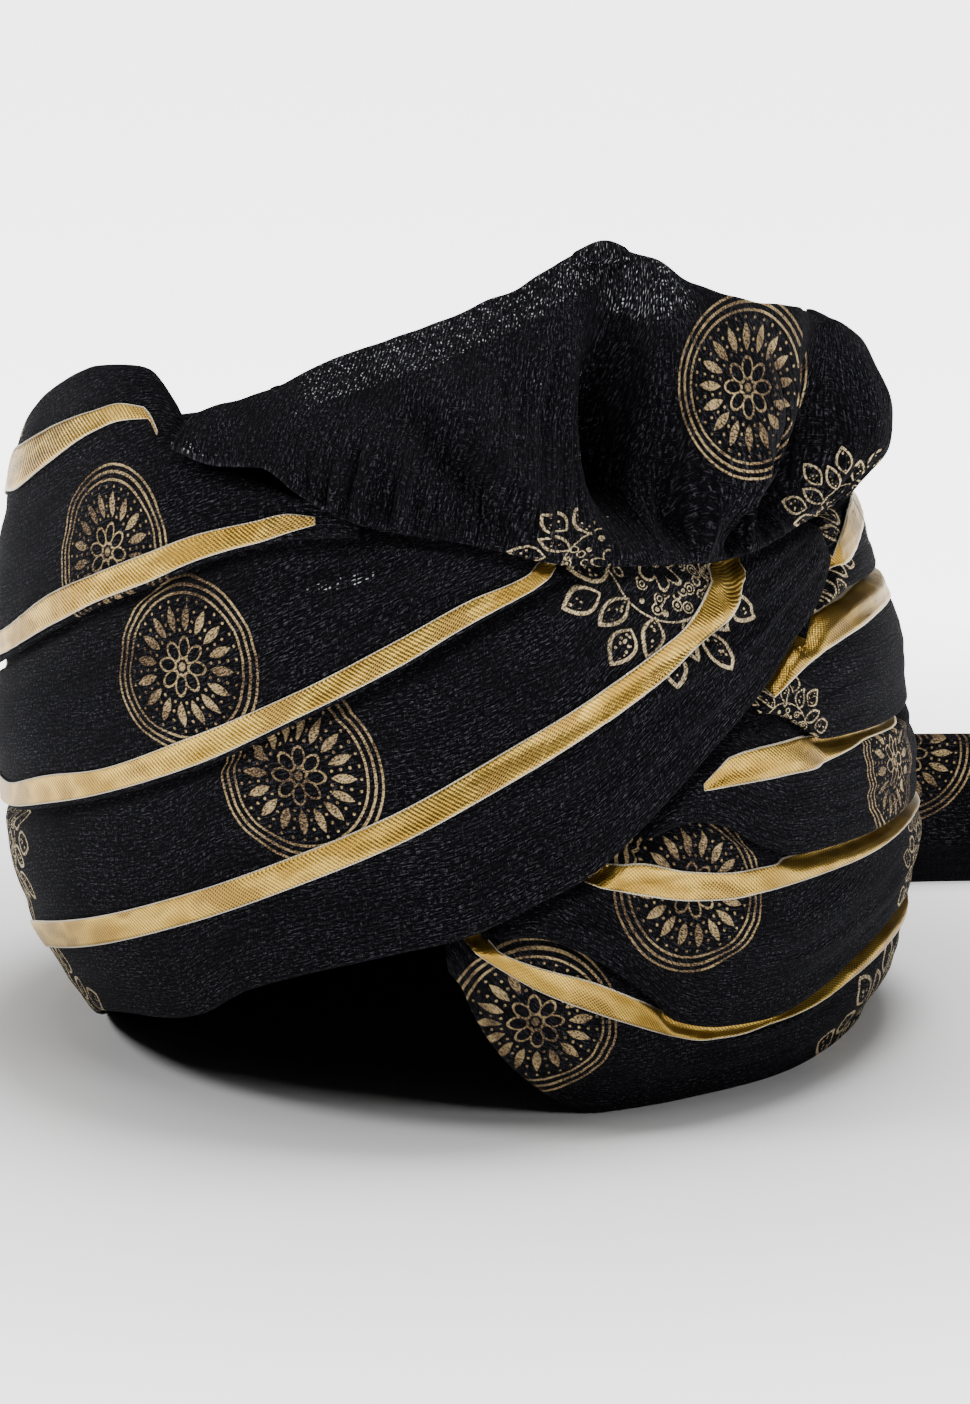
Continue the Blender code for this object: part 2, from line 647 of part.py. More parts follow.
def add_cap(mesh, up, down):
    """Triangles between the outer and the inner line of an end section, both from low to high."""
    i = j = 0
    while i < len(up) - 1 or j < len(down) - 1:
        if j == len(down) - 1 or (i < len(up) - 1 and up[i + 1].co.z <= down[j + 1].co.z):
            mesh.faces.new((up[i], up[i + 1], down[j]))
            i += 1
        else:
            mesh.faces.new((up[i], down[j + 1], down[j]))
            j += 1


def make_lofted(name, sections, closed=False, **look):
    """One closed solid through sections of (outer, inner) points, capped unless it closes on itself."""
    mesh = bmesh.new()
    rows = [[[mesh.verts.new(p) for p in line] for line in section] for section in sections]
    if closed:
        rows.append(rows[0])
    add_grid_faces(mesh, [up for up, _ in rows])
    add_grid_faces(mesh, [down for _, down in rows])
    add_grid_faces(mesh, [(up[0], down[0]) for up, down in rows])
    add_grid_faces(mesh, [(up[-1], down[-1]) for up, down in rows])
    if not closed:
        add_cap(mesh, *rows[0])
        add_cap(mesh, *rows[-1])
    return finish_mesh(mesh, name, **look)


def grid_normals(grid):
    """A smoothed normal at every point of the grid, pointing away from the head."""
    normals = []
    for i, row in enumerate(grid):
        before, after = grid[max(i - 1, 0)], grid[min(i + 1, len(grid) - 1)]
        line = []
        for j in range(len(row)):
            across = row[min(j + 1, len(row) - 1)] - row[max(j - 1, 0)]
            line.append((after[j] - before[j]).cross(across).normalized())
        normals.append(line)
    for _ in range(NORMAL_PASSES):
        normals = [
            [
                (
                    normals[max(i - 1, 0)][j]
                    + normals[min(i + 1, len(grid) - 1)][j]
                    + line[max(j - 1, 0)]
                    + line[min(j + 1, len(line) - 1)]
                    + line[j] * 2
                ).normalized()
                for j in range(len(line))
            ]
            for i, line in enumerate(normals)
        ]
    return normals


def crown_inside(grid):
    """The crown cloth's inner face. At the two narrow ends it is pushed in between foot and rear edge."""
    inside = []
    for i, (row, normals) in enumerate(zip(grid, grid_normals(grid))):
        from_end = min(i, len(grid) - 1 - i) * (len(CROWN) - 1) / (CROWN_STATIONS - 1)
        whole = smooth(from_end / CROWN_NARROW_ROWS)
        line = []
        for j, point in enumerate(row):
            along = CHORD_FROM + CHORD_SPAN * j / (len(row) - 1)
            middle = row[0].lerp(row[-1], along) - Vector((0, 0, CROWN_THICKNESS))
            flat = smooth((j - len(CROWN_FRONT_ROWS)) / CROWN_FLAT_ROWS)
            usual = (-normals[j]).lerp(Vector((0, 0, -1)), flat)
            inward = (middle - point).normalized() * (1 - whole) + usual * whole
            thickness = CROWN_END_THICKNESS + (CROWN_THICKNESS - CROWN_END_THICKNESS) * whole
            line.append(point + inward.normalized() * thickness)
        inside.append(line)
    return inside


def make_sheet(name, outside, inside, **look):
    """A closed sheet of cloth between its two faces."""
    mesh = bmesh.new()
    outer = [[mesh.verts.new(p) for p in row] for row in outside]
    inner = [[mesh.verts.new(p) for p in row] for row in inside]
    add_grid_faces(mesh, outer)
    add_grid_faces(mesh, inner)
    add_grid_faces(mesh, [outer[0], inner[0]])
    add_grid_faces(mesh, [outer[-1], inner[-1]])
    add_grid_faces(mesh, [[row[0] for row in outer], [row[0] for row in inner]])
    add_grid_faces(mesh, [[row[-1] for row in outer], [row[-1] for row in inner]])
    return finish_mesh(mesh, name, **look)


def interpolate(pairs, z):
    """Offset of a polyline of (height, offset) pairs at a height."""
    for (z0, o0), (z1, o1) in zip(pairs, pairs[1:]):
        if z0 <= z < z1:
            return o0 + (o1 - o0) * (z - z0) / (z1 - z0)
    return pairs[-1][1] if z >= pairs[-1][0] else pairs[0][1]


def ribbon_section(wrap, table, angle):
    """A thin strip just outside the wrap's outer face, clear of its edge and of what covers it."""
    up = wrap.outer_line(angle)
    high = min(curve(table, angle, 2), wrap.crease(angle) - CLEAR)
    low = min(max(curve(table, angle, 1), wrap.low(angle) + EDGE_RISE), high - RIBBON_LEAST)
    rows = [(z, interpolate(up, z) + RIBBON_GAP) for z in (low, (low + high) / 2, high)]
    return [[wrap.place(angle, z, o + thick) for z, o in rows] for thick in (RIBBON_THICKNESS, 0.0)]


def make_ribbon(name, wrap, table):
    start, end = table[0][0], table[-1][0]
    between = [a for a in stations(start, end) if start + STATION_APART < a < end - STATION_APART]
    sections = [ribbon_section(wrap, table, a) for a in (start, *between, end)]
    make_lofted(name, sections, colour=GOLD_RIBBON, metallic=0.8, roughness=0.35)


def main():
    for old in list(bpy.data.objects):
        bpy.data.objects.remove(old)
    cloth = {"colour": BLACK_CREPE, "metallic": 0.0, "roughness": 0.85}
    wraps = make_wraps()
    make_lofted("inner_wraps", core_sections(), closed=True, **cloth)
    for name, wrap in wraps.items():
        sections = [wrap.section(a) for a in wrap.angles()]
        if isinstance(wrap, TailedWrap):
            sections = wrap.tail() + sections
        make_lofted(name, sections, **cloth)
    crown = crown_grid()
    make_sheet("crown_cloth", crown, crown_inside(crown), **cloth)
    for name, under, table in RIBBONS:
        make_ribbon(name, wraps[under], table)


main()
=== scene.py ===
"""Looks of the turban: printed black crepe, gold ribbons, a gathered crown and a loose tail.

Lengths are in metres, in the frame of the part, and tables in mm() are written in millimetres. Angles run
round the head in degrees from the forehead, towards the wearer's left, and go past 180 where a wrap passes
the back of the head. Each piece of cloth is a thin closed band, lofted through sections round the wound
wall, that follows its own solid. Its UV maps hold where it is woven and printed: "weave" in metres along
and across the band, "medallion" and "rosette" in radii from the middle of the nearest print of that kind.
No cloth is simulated: the folds and pleats are sweeps and displacements.
"""

import math
from bisect import bisect_right

import bpy
import numpy as np
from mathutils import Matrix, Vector, noise

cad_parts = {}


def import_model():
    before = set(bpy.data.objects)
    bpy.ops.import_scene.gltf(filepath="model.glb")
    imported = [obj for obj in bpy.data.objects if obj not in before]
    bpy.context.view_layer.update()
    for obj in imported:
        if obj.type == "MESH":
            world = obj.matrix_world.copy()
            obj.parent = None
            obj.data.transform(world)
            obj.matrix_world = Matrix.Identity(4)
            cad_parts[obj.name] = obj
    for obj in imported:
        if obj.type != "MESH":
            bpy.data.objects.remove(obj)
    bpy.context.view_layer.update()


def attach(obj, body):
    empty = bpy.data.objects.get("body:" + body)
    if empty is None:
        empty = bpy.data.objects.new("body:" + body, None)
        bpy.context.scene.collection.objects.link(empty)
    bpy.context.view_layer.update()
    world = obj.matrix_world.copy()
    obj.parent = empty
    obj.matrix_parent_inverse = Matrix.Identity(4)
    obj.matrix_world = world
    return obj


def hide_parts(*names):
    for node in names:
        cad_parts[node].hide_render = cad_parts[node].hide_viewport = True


def mm(*rows):
    """A table in metres, of rows that each hold an angle and then lengths in millimetres."""
    return tuple((angle, *(round(length / 1000, 6) for length in lengths)) for angle, *lengths in rows)


# The wound wall: half widths at heights, and how far it leans towards the wearer's right
HALF_WIDTH = (
    (0.000, 0.109), (0.020, 0.120), (0.040, 0.127), (0.060, 0.130), (0.090, 0.130), (0.110, 0.128),
    (0.130, 0.124), (0.150, 0.119), (0.170, 0.113), (0.200, 0.102),
)
WIDTH_FACTOR = 0.99
DEPTH_FACTOR = 1.06
SIDEWAYS = np.array((math.cos(math.radians(20)), math.sin(math.radians(20)), 0.0))
BACKWARDS = np.array((-SIDEWAYS[1], SIDEWAYS[0], 0.0))
UP = np.array((0.0, 0.0, 1.0))
LEAN_AT_FLOOR = 0.0045
LEAN_PER_HEIGHT = -0.095

# How the wraps lie over each other
WALL_BASE = -0.0125
LAYER = 0.0040
LAP = 0.007
CREASE = 0.0038
CLEAR = 0.0008
TOGETHER = 0.0016
ROLL_RADIUS = 0.006
ROLL_SHARE = 0.5
ROLL_LEAST = 0.0015
INNER_SLOPE = 0.003
FULL_BULGE_ROOM = 0.020
FADE = 5.0
HEM_RADIUS = 0.0013
LEAST_HEIGHT = 3 * HEM_RADIUS
LEAST_FACE = 1.5 * HEM_RADIUS
HEM_TUCK = 0.005
TURN = 360.0

# Head opening and the core round it
HEAD_HALF_WIDTH = 0.081
HEAD_HALF_DEPTH = 0.099
CORE_GAP = 0.0013
CORE_TOP = 0.148
CORE_TOP_DIP = 0.005
CORE_DIP = (15.0, 18.0, 82.0, 85.0)
CORE_LOW = mm(
    (-180, 4), (-60, 4), (-48, 10), (-41, 18), (-29, 24), (-20, 27), (-14, 31), (-6, 41), (1, 47),
    (13, 55), (17, 55), (21, 36), (25, 21), (31, 9), (36, 4), (180, 4),
)

# Lower edges of the wraps: angle, height
UPPER_LOW = mm(
    (72, 122.5), (78, 128.5), (87, 131), (110, 129), (150, 123), (180, 117), (210, 110), (240, 103),
    (270, 99), (290, 101), (311, 111), (329, 127), (337, 135), (345, 142), (352, 149), (359, 154),
    (365, 157), (372, 157.8),
)
MIDDLE_LOW = mm(
    (60, 106.8), (63, 105.5), (67, 101), (71, 96), (79, 94.5), (95, 92), (106, 91), (130, 90), (150, 88),
    (180, 83), (210, 76), (240, 68), (270, 63), (290, 64), (311, 69), (328, 78), (337, 84), (352, 97),
    (364, 111), (376, 125), (384, 135), (391, 142), (396, 146.2),
)
FRONT_LOW = mm(
    (-160, 0), (-66, 0), (-58, 3), (-41, 14), (-29, 20), (-20, 23), (-14, 27), (-6, 37), (1, 43),
    (13, 51), (20, 55), (29, 64), (35, 70), (41, 80), (47, 91), (53, 101), (61, 112), (69, 123),
    (77, 130.5), (84, 139),
)
HIGH_LOW = mm(
    (42, 78), (48, 81.2), (52, 79.5), (58, 72), (64, 67), (75, 66), (94, 65), (130, 62), (160, 58),
    (180, 55), (211, 50),
)
MID_LOW = mm(
    (24, 54.9), (28, 54.5), (30, 53.3), (35, 47), (42, 34), (45, 27), (53, 22), (61, 21), (71, 25),
    (80, 31), (94, 36), (130, 36), (160, 32), (180, 28), (211, 23),
)
LOW_LOW = mm((18, 46), (19, 43), (21, 29), (25, 15), (31, 4), (36, 0), (211, 0))

# Where the crown cloth comes down over the wraps: angle, height of its edge
GATHER = mm(
    (-12, 177), (-5, 175), (1, 177), (6, 168), (11, 162), (17, 159), (23, 157), (29, 154), (36, 150),
    (46, 148), (59, 146), (65, 147), (76, 150), (98, 154),
)
GATHER_RISE = 0.004
GATHER_TIGHT_FROM = 5.0
GATHER_TIGHT_AT = 17.0
SIDE_WRAPS_END = 210.4

# Free top of the upper wrap: angle, height
UPPER_TOP = mm(
    (72, 132.5), (78, 138), (84, 145.5), (90, 150.5), (98, 152.5), (115, 156), (150, 160), (200, 161),
    (240, 160), (270, 163), (290, 170), (300, 176), (313, 187), (325, 194), (335, 195.5), (342, 188.5),
    (347, 177.5), (351, 173.5), (358, 171.5), (366, 167), (372, 165.5),
)

# The loose tail: where the front wrap leaves the wall, and its course from there
TAIL_LEAVES = -158.4
TAIL_TIGHT_AT = -167.2
TAIL_CLEAR_AT = -184.8
TUCKED_FROM = -123.0
UNTUCKED_AT = -141.0
UNTUCKED_BY = 0.005
TUCKED_SHARE = 0.7
TAIL_RUN = 0.300
TAIL_STEPS = 110
TAIL_HEIGHT = ((0.0, 0.074), (0.05, 0.062), (0.12, 0.049), (0.30, 0.047))
TAIL_THICKNESS = ((0.0, 0.0), (0.08, 0.004), (0.30, 0.005))
TAIL_UPRIGHT = (0.02, 0.11)
TAIL_MIDDLE = 0.03
# Its waves (depth, length) and the folds of its layers (depth, length, height)
TAIL_WAVE = (0.0022, 0.060)
TAIL_FOLDS = (0.0009, 0.080, 0.009)

# Crown cloth, left to right: angle, height and offset of its front edge; then sideways, backwards and
# height of its ridge, and of its rear edge
CROWN = mm(
    (-12, 178.5, 4.5, -71.5, -91.5, 185.5, -71.5, -76, 174.5),
    (-5, 175.5, 6, -60, -88, 189, -70, -64, 171),
    (1, 176, 8, -44, -82, 195, -75, -50, 165),
    (6, 169, 6, -30, -80, 200, -90, -30, 156),
    (11, 162.5, 3, -17.4, -80, 204.8, -99, -10, 150.5),
    (17, 159, 1, -4, -80, 209.8, -102, 8, 150.5),
    (23, 157, 0, 9, -80, 215, -99, 27, 150.5),
    (29, 154, 0.4, 20, -79, 220.5, -92, 46, 150.5),
    (36, 150, 0.4, 30, -77, 225.5, -80, 66, 150.5),
    (43, 148.5, 0.4, 40, -75, 227, -63, 84, 150.5),
    (51, 147.5, 0.4, 51, -74, 223.5, -43, 97, 150.5),
    (59, 146.5, 0.4, 62, -72, 216.5, -20, 103, 150.5),
    (65, 147, 0.4, 75.5, -68, 212.3, 5, 104, 150.5),
    (71, 148.5, 0.4, 89, -58, 209.4, 30, 96, 150.5),
    (78, 150.5, 0, 101, -42, 204.5, 55, 80, 150.5),
    (85, 152, 1, 110, -27, 192, 66, 60, 150.5),
    (91, 153.5, 2.5, 112, -17, 177, 86, 26, 153.5),
)
CROWN_STATIONS = 300
CROWN_FRONT_ROWS = 80
CROWN_REAR_ROWS = 46
CROWN_PUFF = 0.009
CROWN_FULL_PUFF = 0.045
CROWN_SAG = 1.5
CROWN_END_SAG = 0.70
CROWN_END_ROWS = 3.0
CROWN_THICKNESS = 0.0007
CROWN_HEM = (-90, 60)
# Pleats: depth and mean, how many wide and how many fine ones to a row of the table and up the cloth, and
# how fast they rise and fade
CROWN_PLEAT = 0.0060
PLEAT_MEAN = 0.5
WIDE_PLEATS = (2.3, 0.7)
FINE_PLEATS = (5.1, 1.0)
PLEATS_RISE = 8
PLEATS_FADE = 1.5
# Drape: depth and size of its waves, and over how many stations and rows they grow from each edge
CROWN_DRAPE = ((0.0016, 0.022), (0.0007, 0.009))
DRAPE_FROM_ENDS = 20
DRAPE_FROM_FOOT = 14
DRAPE_FROM_REAR = 10

# Folds of the crown's front: sideways place at its foot and at the ridge, half width at each, depth, share
# of the height where it is deepest. A minus depth stands out. Most of it is lost at the ridge.
CROWN_FOLDS = (
    (0.047, 0.040, 0.007, 0.013, 0.046, 0.28),  # centre valley
    (0.034, 0.012, 0.010, 0.020, 0.012, 0.36),  # centre slope
    (0.012, -0.034, 0.006, 0.012, 0.009, 0.30),  # left valley
    (0.020, -0.016, 0.007, 0.012, -0.006, 0.34),  # left ridge
    (0.064, 0.073, 0.009, 0.013, -0.013, 0.42),  # middle lobe
    (0.081, 0.098, 0.005, 0.007, 0.034, 0.24),  # right valley
    (0.091, 0.108, 0.008, 0.010, -0.008, 0.45),  # right lobe
    (0.057, 0.060, 0.003, 0.008, 0.016, 0.13),  # foot fold left
    (0.070, 0.080, 0.003, 0.008, 0.012, 0.11),  # foot fold right
)
FOLD_LOST_AT_RIDGE = 0.85

# Ribbons: name, the wrap it lies on, crumple, and angle, lower and upper height along it
RIBBONS = (
    ("ribbon_upper", "upper_wrap", 0.0002, mm(
        (236, 149, 157), (250, 146, 154), (270, 145.5, 153.5), (290, 149, 157), (303, 154.5, 166),
        (310, 157, 170), (321, 167.5, 178), (331, 178, 184), (337, 182.5, 187), (341, 183.8, 186.8),
        (344, 184.4, 185.5),
    )),
    ("ribbon_upper_edge", "upper_wrap", 0.0005, mm(
        (105, 144, 152.5), (118, 147, 155.5), (130, 146, 154.5), (150, 137, 145), (180, 125, 133),
        (210, 116, 124), (240, 107, 115), (270, 101, 108.5), (290, 102, 109), (311, 112, 119),
        (328, 127, 136), (336, 135, 143), (345, 142, 151), (352, 149, 157), (359, 155, 161),
        (364, 159, 163.5), (367, 161, 163),
    )),
    ("ribbon_upper_end", "upper_wrap", 0.0003, mm(
        (80, 136, 139.5), (84, 137, 141.5), (90, 138, 145.5), (96, 140.5, 149), (104, 143.5, 152.5),
    )),
    ("ribbon_middle", "middle_wrap", 0.0002, mm(
        (62.5, 110.5, 113.5), (66, 113.5, 119.5), (71, 117, 124), (77, 119.5, 127.5), (83, 121, 129),
        (92, 122, 130), (110, 120.5, 128), (130, 116, 124), (150, 110, 118), (180, 100, 108),
        (210, 88, 96), (240, 76, 84), (270, 67, 75), (290, 66, 74), (311, 70, 77), (328, 79, 87),
        (337, 85, 92), (352, 98, 106), (365, 112, 120), (376, 126, 133), (385, 136, 143),
        (391, 143, 147.5), (396, 149, 153),
    )),
    ("ribbon_front", "front_wrap", 0.0002, mm(
        (-98, 1.5, 6), (-90, 4, 12), (-70, 16, 24), (-54, 26, 34), (-27, 42, 50), (-10, 56, 64),
        (3, 69, 77), (14, 81, 89), (26, 96, 104), (38, 110, 118), (50, 124, 131.5), (55, 129, 139),
        (59, 134, 147), (62, 140.5, 154), (65, 148, 160),
    )),
    ("ribbon_high", "side_wrap_high", 0.0002, mm(
        (50, 89.7, 91.7), (52, 89.9, 95), (54, 90, 97.8), (59, 90, 99), (65, 90, 99), (70, 90.5, 97),
        (80, 91.5, 95.5), (96, 89.5, 92.5), (108, 92.5, 95.5),
    )),
    ("ribbon_mid", "side_wrap_mid", 0.0002, mm(
        (34.5, 68.3, 70), (37, 66.5, 72.5), (40, 64.5, 73), (47, 61, 69), (53, 60, 67), (60, 60, 66.5),
        (70, 60.5, 66.5), (80, 61, 65.5), (96, 61.5, 64.5), (123, 59.5, 62.5), (136, 62.5, 65.5),
    )),
    ("ribbon_low", "side_wrap_low", 0.0002, mm(
        (20, 54.5, 56), (22, 50, 55.5), (24, 46.5, 51.5), (28, 40, 47), (34, 33, 42), (40, 27, 35),
        (45, 22.5, 28.5), (50, 19.5, 24.5), (57, 18.5, 22), (63, 19, 21.5), (71, 21.5, 24.5),
        (80, 25.5, 30), (96, 30, 35.5), (123, 31, 35.5), (137, 36, 39.5),
    )),
)
RIBBON_GAP = 0.0003
RIBBON_THICKNESS = 0.0004
RIBBON_LEAST = 0.0010
RIBBON_ROWS = 8
RIBBON_LEAST_STEPS = 8
# Their crumples: how many to a degree, size across, and share and number to a degree of the finer ones
RIBBON_CRUMPLE = (0.55, 0.0035, 0.6, 1.3)

# Prints on each wrap: angle and height of the middle of a medallion, and also the radius of a rosette
MEDALLION_RADIUS = 0.0229
MEDALLIONS = {
    "upper_wrap": mm((118, 140), (190, 141), (262, 134), (337.8, 149.2)),
    "middle_wrap": mm((119, 106), (172, 99), (220, 92), (278, 88), (350.6, 123.3)),
    "front_wrap": mm((4.0, 97.8), (-112, 36)),
    "side_wrap_high": mm((90, 81.5), (152, 74)),
    "side_wrap_mid": mm((47.3, 64), (116, 50), (180, 43)),
    "side_wrap_low": mm((27.3, 31.5), (138, 18), (196, 14)),
}
ROSETTES = {
    "upper_wrap": mm((80, 150, 26), (296, 182, 22)),
    "middle_wrap": mm((64, 100, 18), (299, 90, 18)),
    "front_wrap": mm((50, 148, 31), (-49, 6, 30), (-54, 62, 29), (-84, 20, 34)),
    "side_wrap_high": mm((122, 70, 20)),
    "side_wrap_mid": mm((103, 46, 24)),
    "side_wrap_low": mm((94, -4, 36)),
}
# On the crown: kind, sideways place and height of the middle, radius upwards and its multiple sideways. The
# left rosette ends at the valley in the middle, and prints are left off where the cloth turns away.
CROWN_PRINTS = (
    ("medallion", 0.0739, 0.1920, MEDALLION_RADIUS, 0.80),
    ("rosette", 0.038, 0.149, 0.019, 1.50),
    ("rosette", 0.104, 0.152, 0.020, 1.00),
)
CROWN_ROSETTE_ENDS = 0.038
CROWN_VALLEY_CLEAR = (0.030, 0.160)
PRINTED_SLOPE = 0.40
# On the tail: how far along it, and height of the middle
TAIL_MEDALLIONS = ((0.140, 0.043), (0.228, 0.012))
# A map's value where there is no print
FAR_AWAY = 9.0

# Open, sheer places of the weave, painted pale as backlight. On the crown: a strip below its ridge
# (sideways from and to, depth, how open, and how soft its ends and lower edge are), then patches (sideways,
# height, half width, half height, how open). On the middle wrap: angle, height, half size of both, slope,
# how open.
BACKLIT_STRIP = (-0.052, 0.066)
BACKLIT_STRIP_DEPTH = 0.012
BACKLIT_STRIP_OPEN = 0.76
BACKLIT_STRIP_SOFT = (0.012, 0.002)
BACKLIT_PATCHES = (
    (-0.072, 0.178, 0.008, 0.004, 0.7),
    (0.018, 0.196, 0.007, 0.022, 0.45),
    (0.030, 0.190, 0.004, 0.024, 0.5),
    (0.096, 0.204, 0.012, 0.006, 0.4),
    (0.048, 0.213, 0.018, 0.007, 0.85),
)
BACKLIT_PATCH_REACH = 1.4
WRAP_BACKLIT = (10.5, 0.1470, 5.0, 0.0014, 0.00047, 0.9)
WRAP_BACKLIT_REACH = 1.6

# The wraps: name, angles from and to, lower edge, how far it bulges, free top edge if it has one
WRAPS = (
    ("upper_wrap", 72.0, 372.0, UPPER_LOW, 0.0010, UPPER_TOP),
    ("middle_wrap", 60.0, 396.0, MIDDLE_LOW, 0.0015, None),
    ("front_wrap", TAIL_LEAVES, 84.0, FRONT_LOW, 0.0012, None),
    ("side_wrap_high", 42.0, SIDE_WRAPS_END, HIGH_LOW, 0.0015, None),
    ("side_wrap_mid", 24.0, SIDE_WRAPS_END, MID_LOW, 0.0015, None),
    ("side_wrap_low", 18.0, SIDE_WRAPS_END, LOW_LOW, 0.0015, None),
)

# Folds along the wraps: how many across, and angle, depth along it
WRAP_FOLDS = {
    "upper_wrap": (4.0, mm((72, 1.8), (100, 0.8), (250, 0.8), (330, 1.4), (372, 1))),
    "middle_wrap": (5.0, mm((60, 2), (90, 0.8), (300, 0.8), (372, 1.6), (396, 1.8))),
    "front_wrap": (6.0, mm((-158, 0.8), (-40, 0.9), (15, 1.4), (45, 2.6), (84, 2))),
    "side_wrap_high": (4.0, mm((42, 2.4), (60, 2.2), (90, 1), (210, 0.6))),
    "side_wrap_mid": (5.0, mm((24, 2.6), (50, 2.6), (85, 1.2), (210, 0.6))),
    "side_wrap_low": (4.0, mm((18, 2), (40, 2), (80, 1), (210, 0.6))),
}
FOLD_LENGTH = 26.0
FOLD_LEAST_SPAN = 0.004
FOLD_FULL_SPAN = 0.030
FOLD_FADE = 0.7
# Finer folds among them: their share, and how many times as many across and along
FINE_FOLDS = (0.5, 2.3, 1.7)
SWELL = 0.0011
SWELL_SIZE = 0.045
SWELL_RADIUS = 0.130

# Steps of the meshes
STATION_STEP = 1.25
FACE_ROWS = 42
BACK_ROWS = 5
HEM_STEPS = 5
ROLL_STEPS = 10
INSIDE_ROWS = 8
CLOSING_ROWS = 4
LEAST_DROP = 0.0005

# The core: stations round it, and rows of its outside, inside and ends; its layers inside, how deep they
# show and how far they lean; its crinkles (depth, degrees along, height); how much the opening narrows
# upwards; and the ridges of its ends (how many, depth)
CORE_STATIONS = 288
CORE_OUTSIDE_ROWS = 6
CORE_INSIDE_ROWS = 76
CORE_END_ROWS = 26
CORE_LAYERS = 7
CORE_LAYER_DEPTH = 0.0016
CORE_LEAN = 0.5
CORE_CRINKLE = (0.0005, 9, 0.006)
CORE_NARROWS = 0.003
CORE_RIDGES = (6, 0.0011)

# The medallion's drawing, in its radii: rings (radius, half width), leaves on rays (middle, half length,
# half width), dots between the rays (start, step, size) and where they lie, dots at the leaves' tips
# (place, size), petals (middle, half length, half width, line) and the eye
MEDALLION_RINGS = ((0.975, 0.014), (0.893, 0.016), (0.805, 0.014))
MEDALLION_LEAVES = 16
MEDALLION_LEAF = (0.535, 0.150, 0.052)
MEDALLION_DOTS = (0.400, 0.055, 0.017)
MEDALLION_FIELD = (0.37, 0.75)
MEDALLION_OUTER_DOTS = (0.735, 0.016)
MEDALLION_PETALS = 8
MEDALLION_PETAL = (0.205, 0.115, 0.072, 0.14)
MEDALLION_EYE = 0.045

# The rosette's: leaves (outline, its hollow, the dotted inside), dots (scale, size from and to), scrolls
# (scale, then place and half width of their lines) and where they lie, the ring round them, and the flower
# (petals, depth, place, line) with its eye
ROSETTE_LEAVES = 11
ROSETTE_OUTER_LEAF = ((0.82, 0.185, 0.118), (0.810, 0.152, 0.088), (0.81, 0.140, 0.062))
ROSETTE_INNER_LEAF = ((0.63, 0.185, 0.100), (0.620, 0.150, 0.070), (0.62, 0.130, 0.050))
ROSETTE_DOTS = (22.0, 0.24, 0.36)
ROSETTE_SCROLLS = (9.0, (0.20, 0.040), (0.42, 0.050))
ROSETTE_FIELD = (0.25, 0.46)
ROSETTE_RING = (0.465, 0.008)
ROSETTE_FLOWER = (7, 0.09, 0.12, 0.014)
ROSETTE_EYE = (0.050, 0.035)

# Soft edges: of lines and dots as a share of their size, of leaves and fields in radii of the print
SOFT_LINE = 0.25
SOFT_DOT = 0.30
SOFT_LEAF = 0.006
SOFT_FIELD = 0.01

# Noise in the materials: size along and across the band, detail and roughness
GRAINS = {
    "fibres": (0.0016, 0.00042, 3.0, 0.60),
    "crossings": (0.00040, 0.0018, 2.0, 0.60),
    "patches": (0.020, 0.014, 2.0, 0.50),
    "drift": (0.0040, 0.0030, 2.0, 0.50),
    "holes": (0.0020, 0.0011, 1.0, 0.50),
    "wear": (0.00075, 0.00050, 2.0, 0.65),
    "tone": (0.016, 0.016, 2.0, 0.50),
    "shade_patches": (0.026, 0.014, 2.0, 0.50),
    "crumple": (0.0045, 0.0028, 3.0, 0.60),
    "broad": (0.026, 0.012, 2.0, 0.50),
    "specks": (0.00075, 0.00075, 2.0, 0.50),
    "worn": (0.014, 0.006, 2.0, 0.50),
    "floor": (1 / 3, 1 / 3, 2.0, 0.50),
}
# Where a value counts as 0, and where as 1
RISES = {
    "fibres": (0.53, 0.66),
    "crossings": (0.57, 0.70),
    "patches": (0.15, 0.70),
    "holes": (0.0, 0.10),
    "backlit_sheer": (0.02, 0.20),
    "wear": (0.31, 0.43),
    "tone": (0.35, 0.65),
    "shade_patches": (0.50, 0.62),
    "broad": (0.36, 0.62),
    "groove_shade": (0.10, -0.70),
    "specks": (0.655, 0.70),
    "worn": (0.56, 0.64),
    "selvage": (0.89, 0.94),
    "threads": (-1.0, 1.0),
}
COLOURS = {
    "crepe_shade": (0.0005, 0.0005, 0.0010),
    "crepe_lit": (0.060, 0.058, 0.070),
    # painted light: the bright backdrop seen through the open weave
    "crepe_backlit_open": (0.50, 0.50, 0.52),
    "print_gold": (0.54, 0.395, 0.200),
    "print_brown": (0.25, 0.165, 0.090),
    "rosette_gold": (0.74, 0.60, 0.37),
    "gold_deep": (0.38, 0.225, 0.036),
    # painted highlight on the ribbon, in patches
    "gold_painted_highlight": (0.78, 0.520, 0.115),
    # painted shade on the ribbon, in patches
    "gold_painted_shade": (0.26, 0.145, 0.034),
    # painted shade in the twill's grooves
    "gold_groove_shade": (0.10, 0.055, 0.014),
    "gold_worn": (0.030, 0.018, 0.010),
    "selvage_shade": (0.40, 0.34, 0.25),
    "selvage_pale": (0.66, 0.60, 0.49),
    "floor_shade": (0.86, 0.86, 0.86),
    "floor_pale": (0.90, 0.90, 0.90),
}
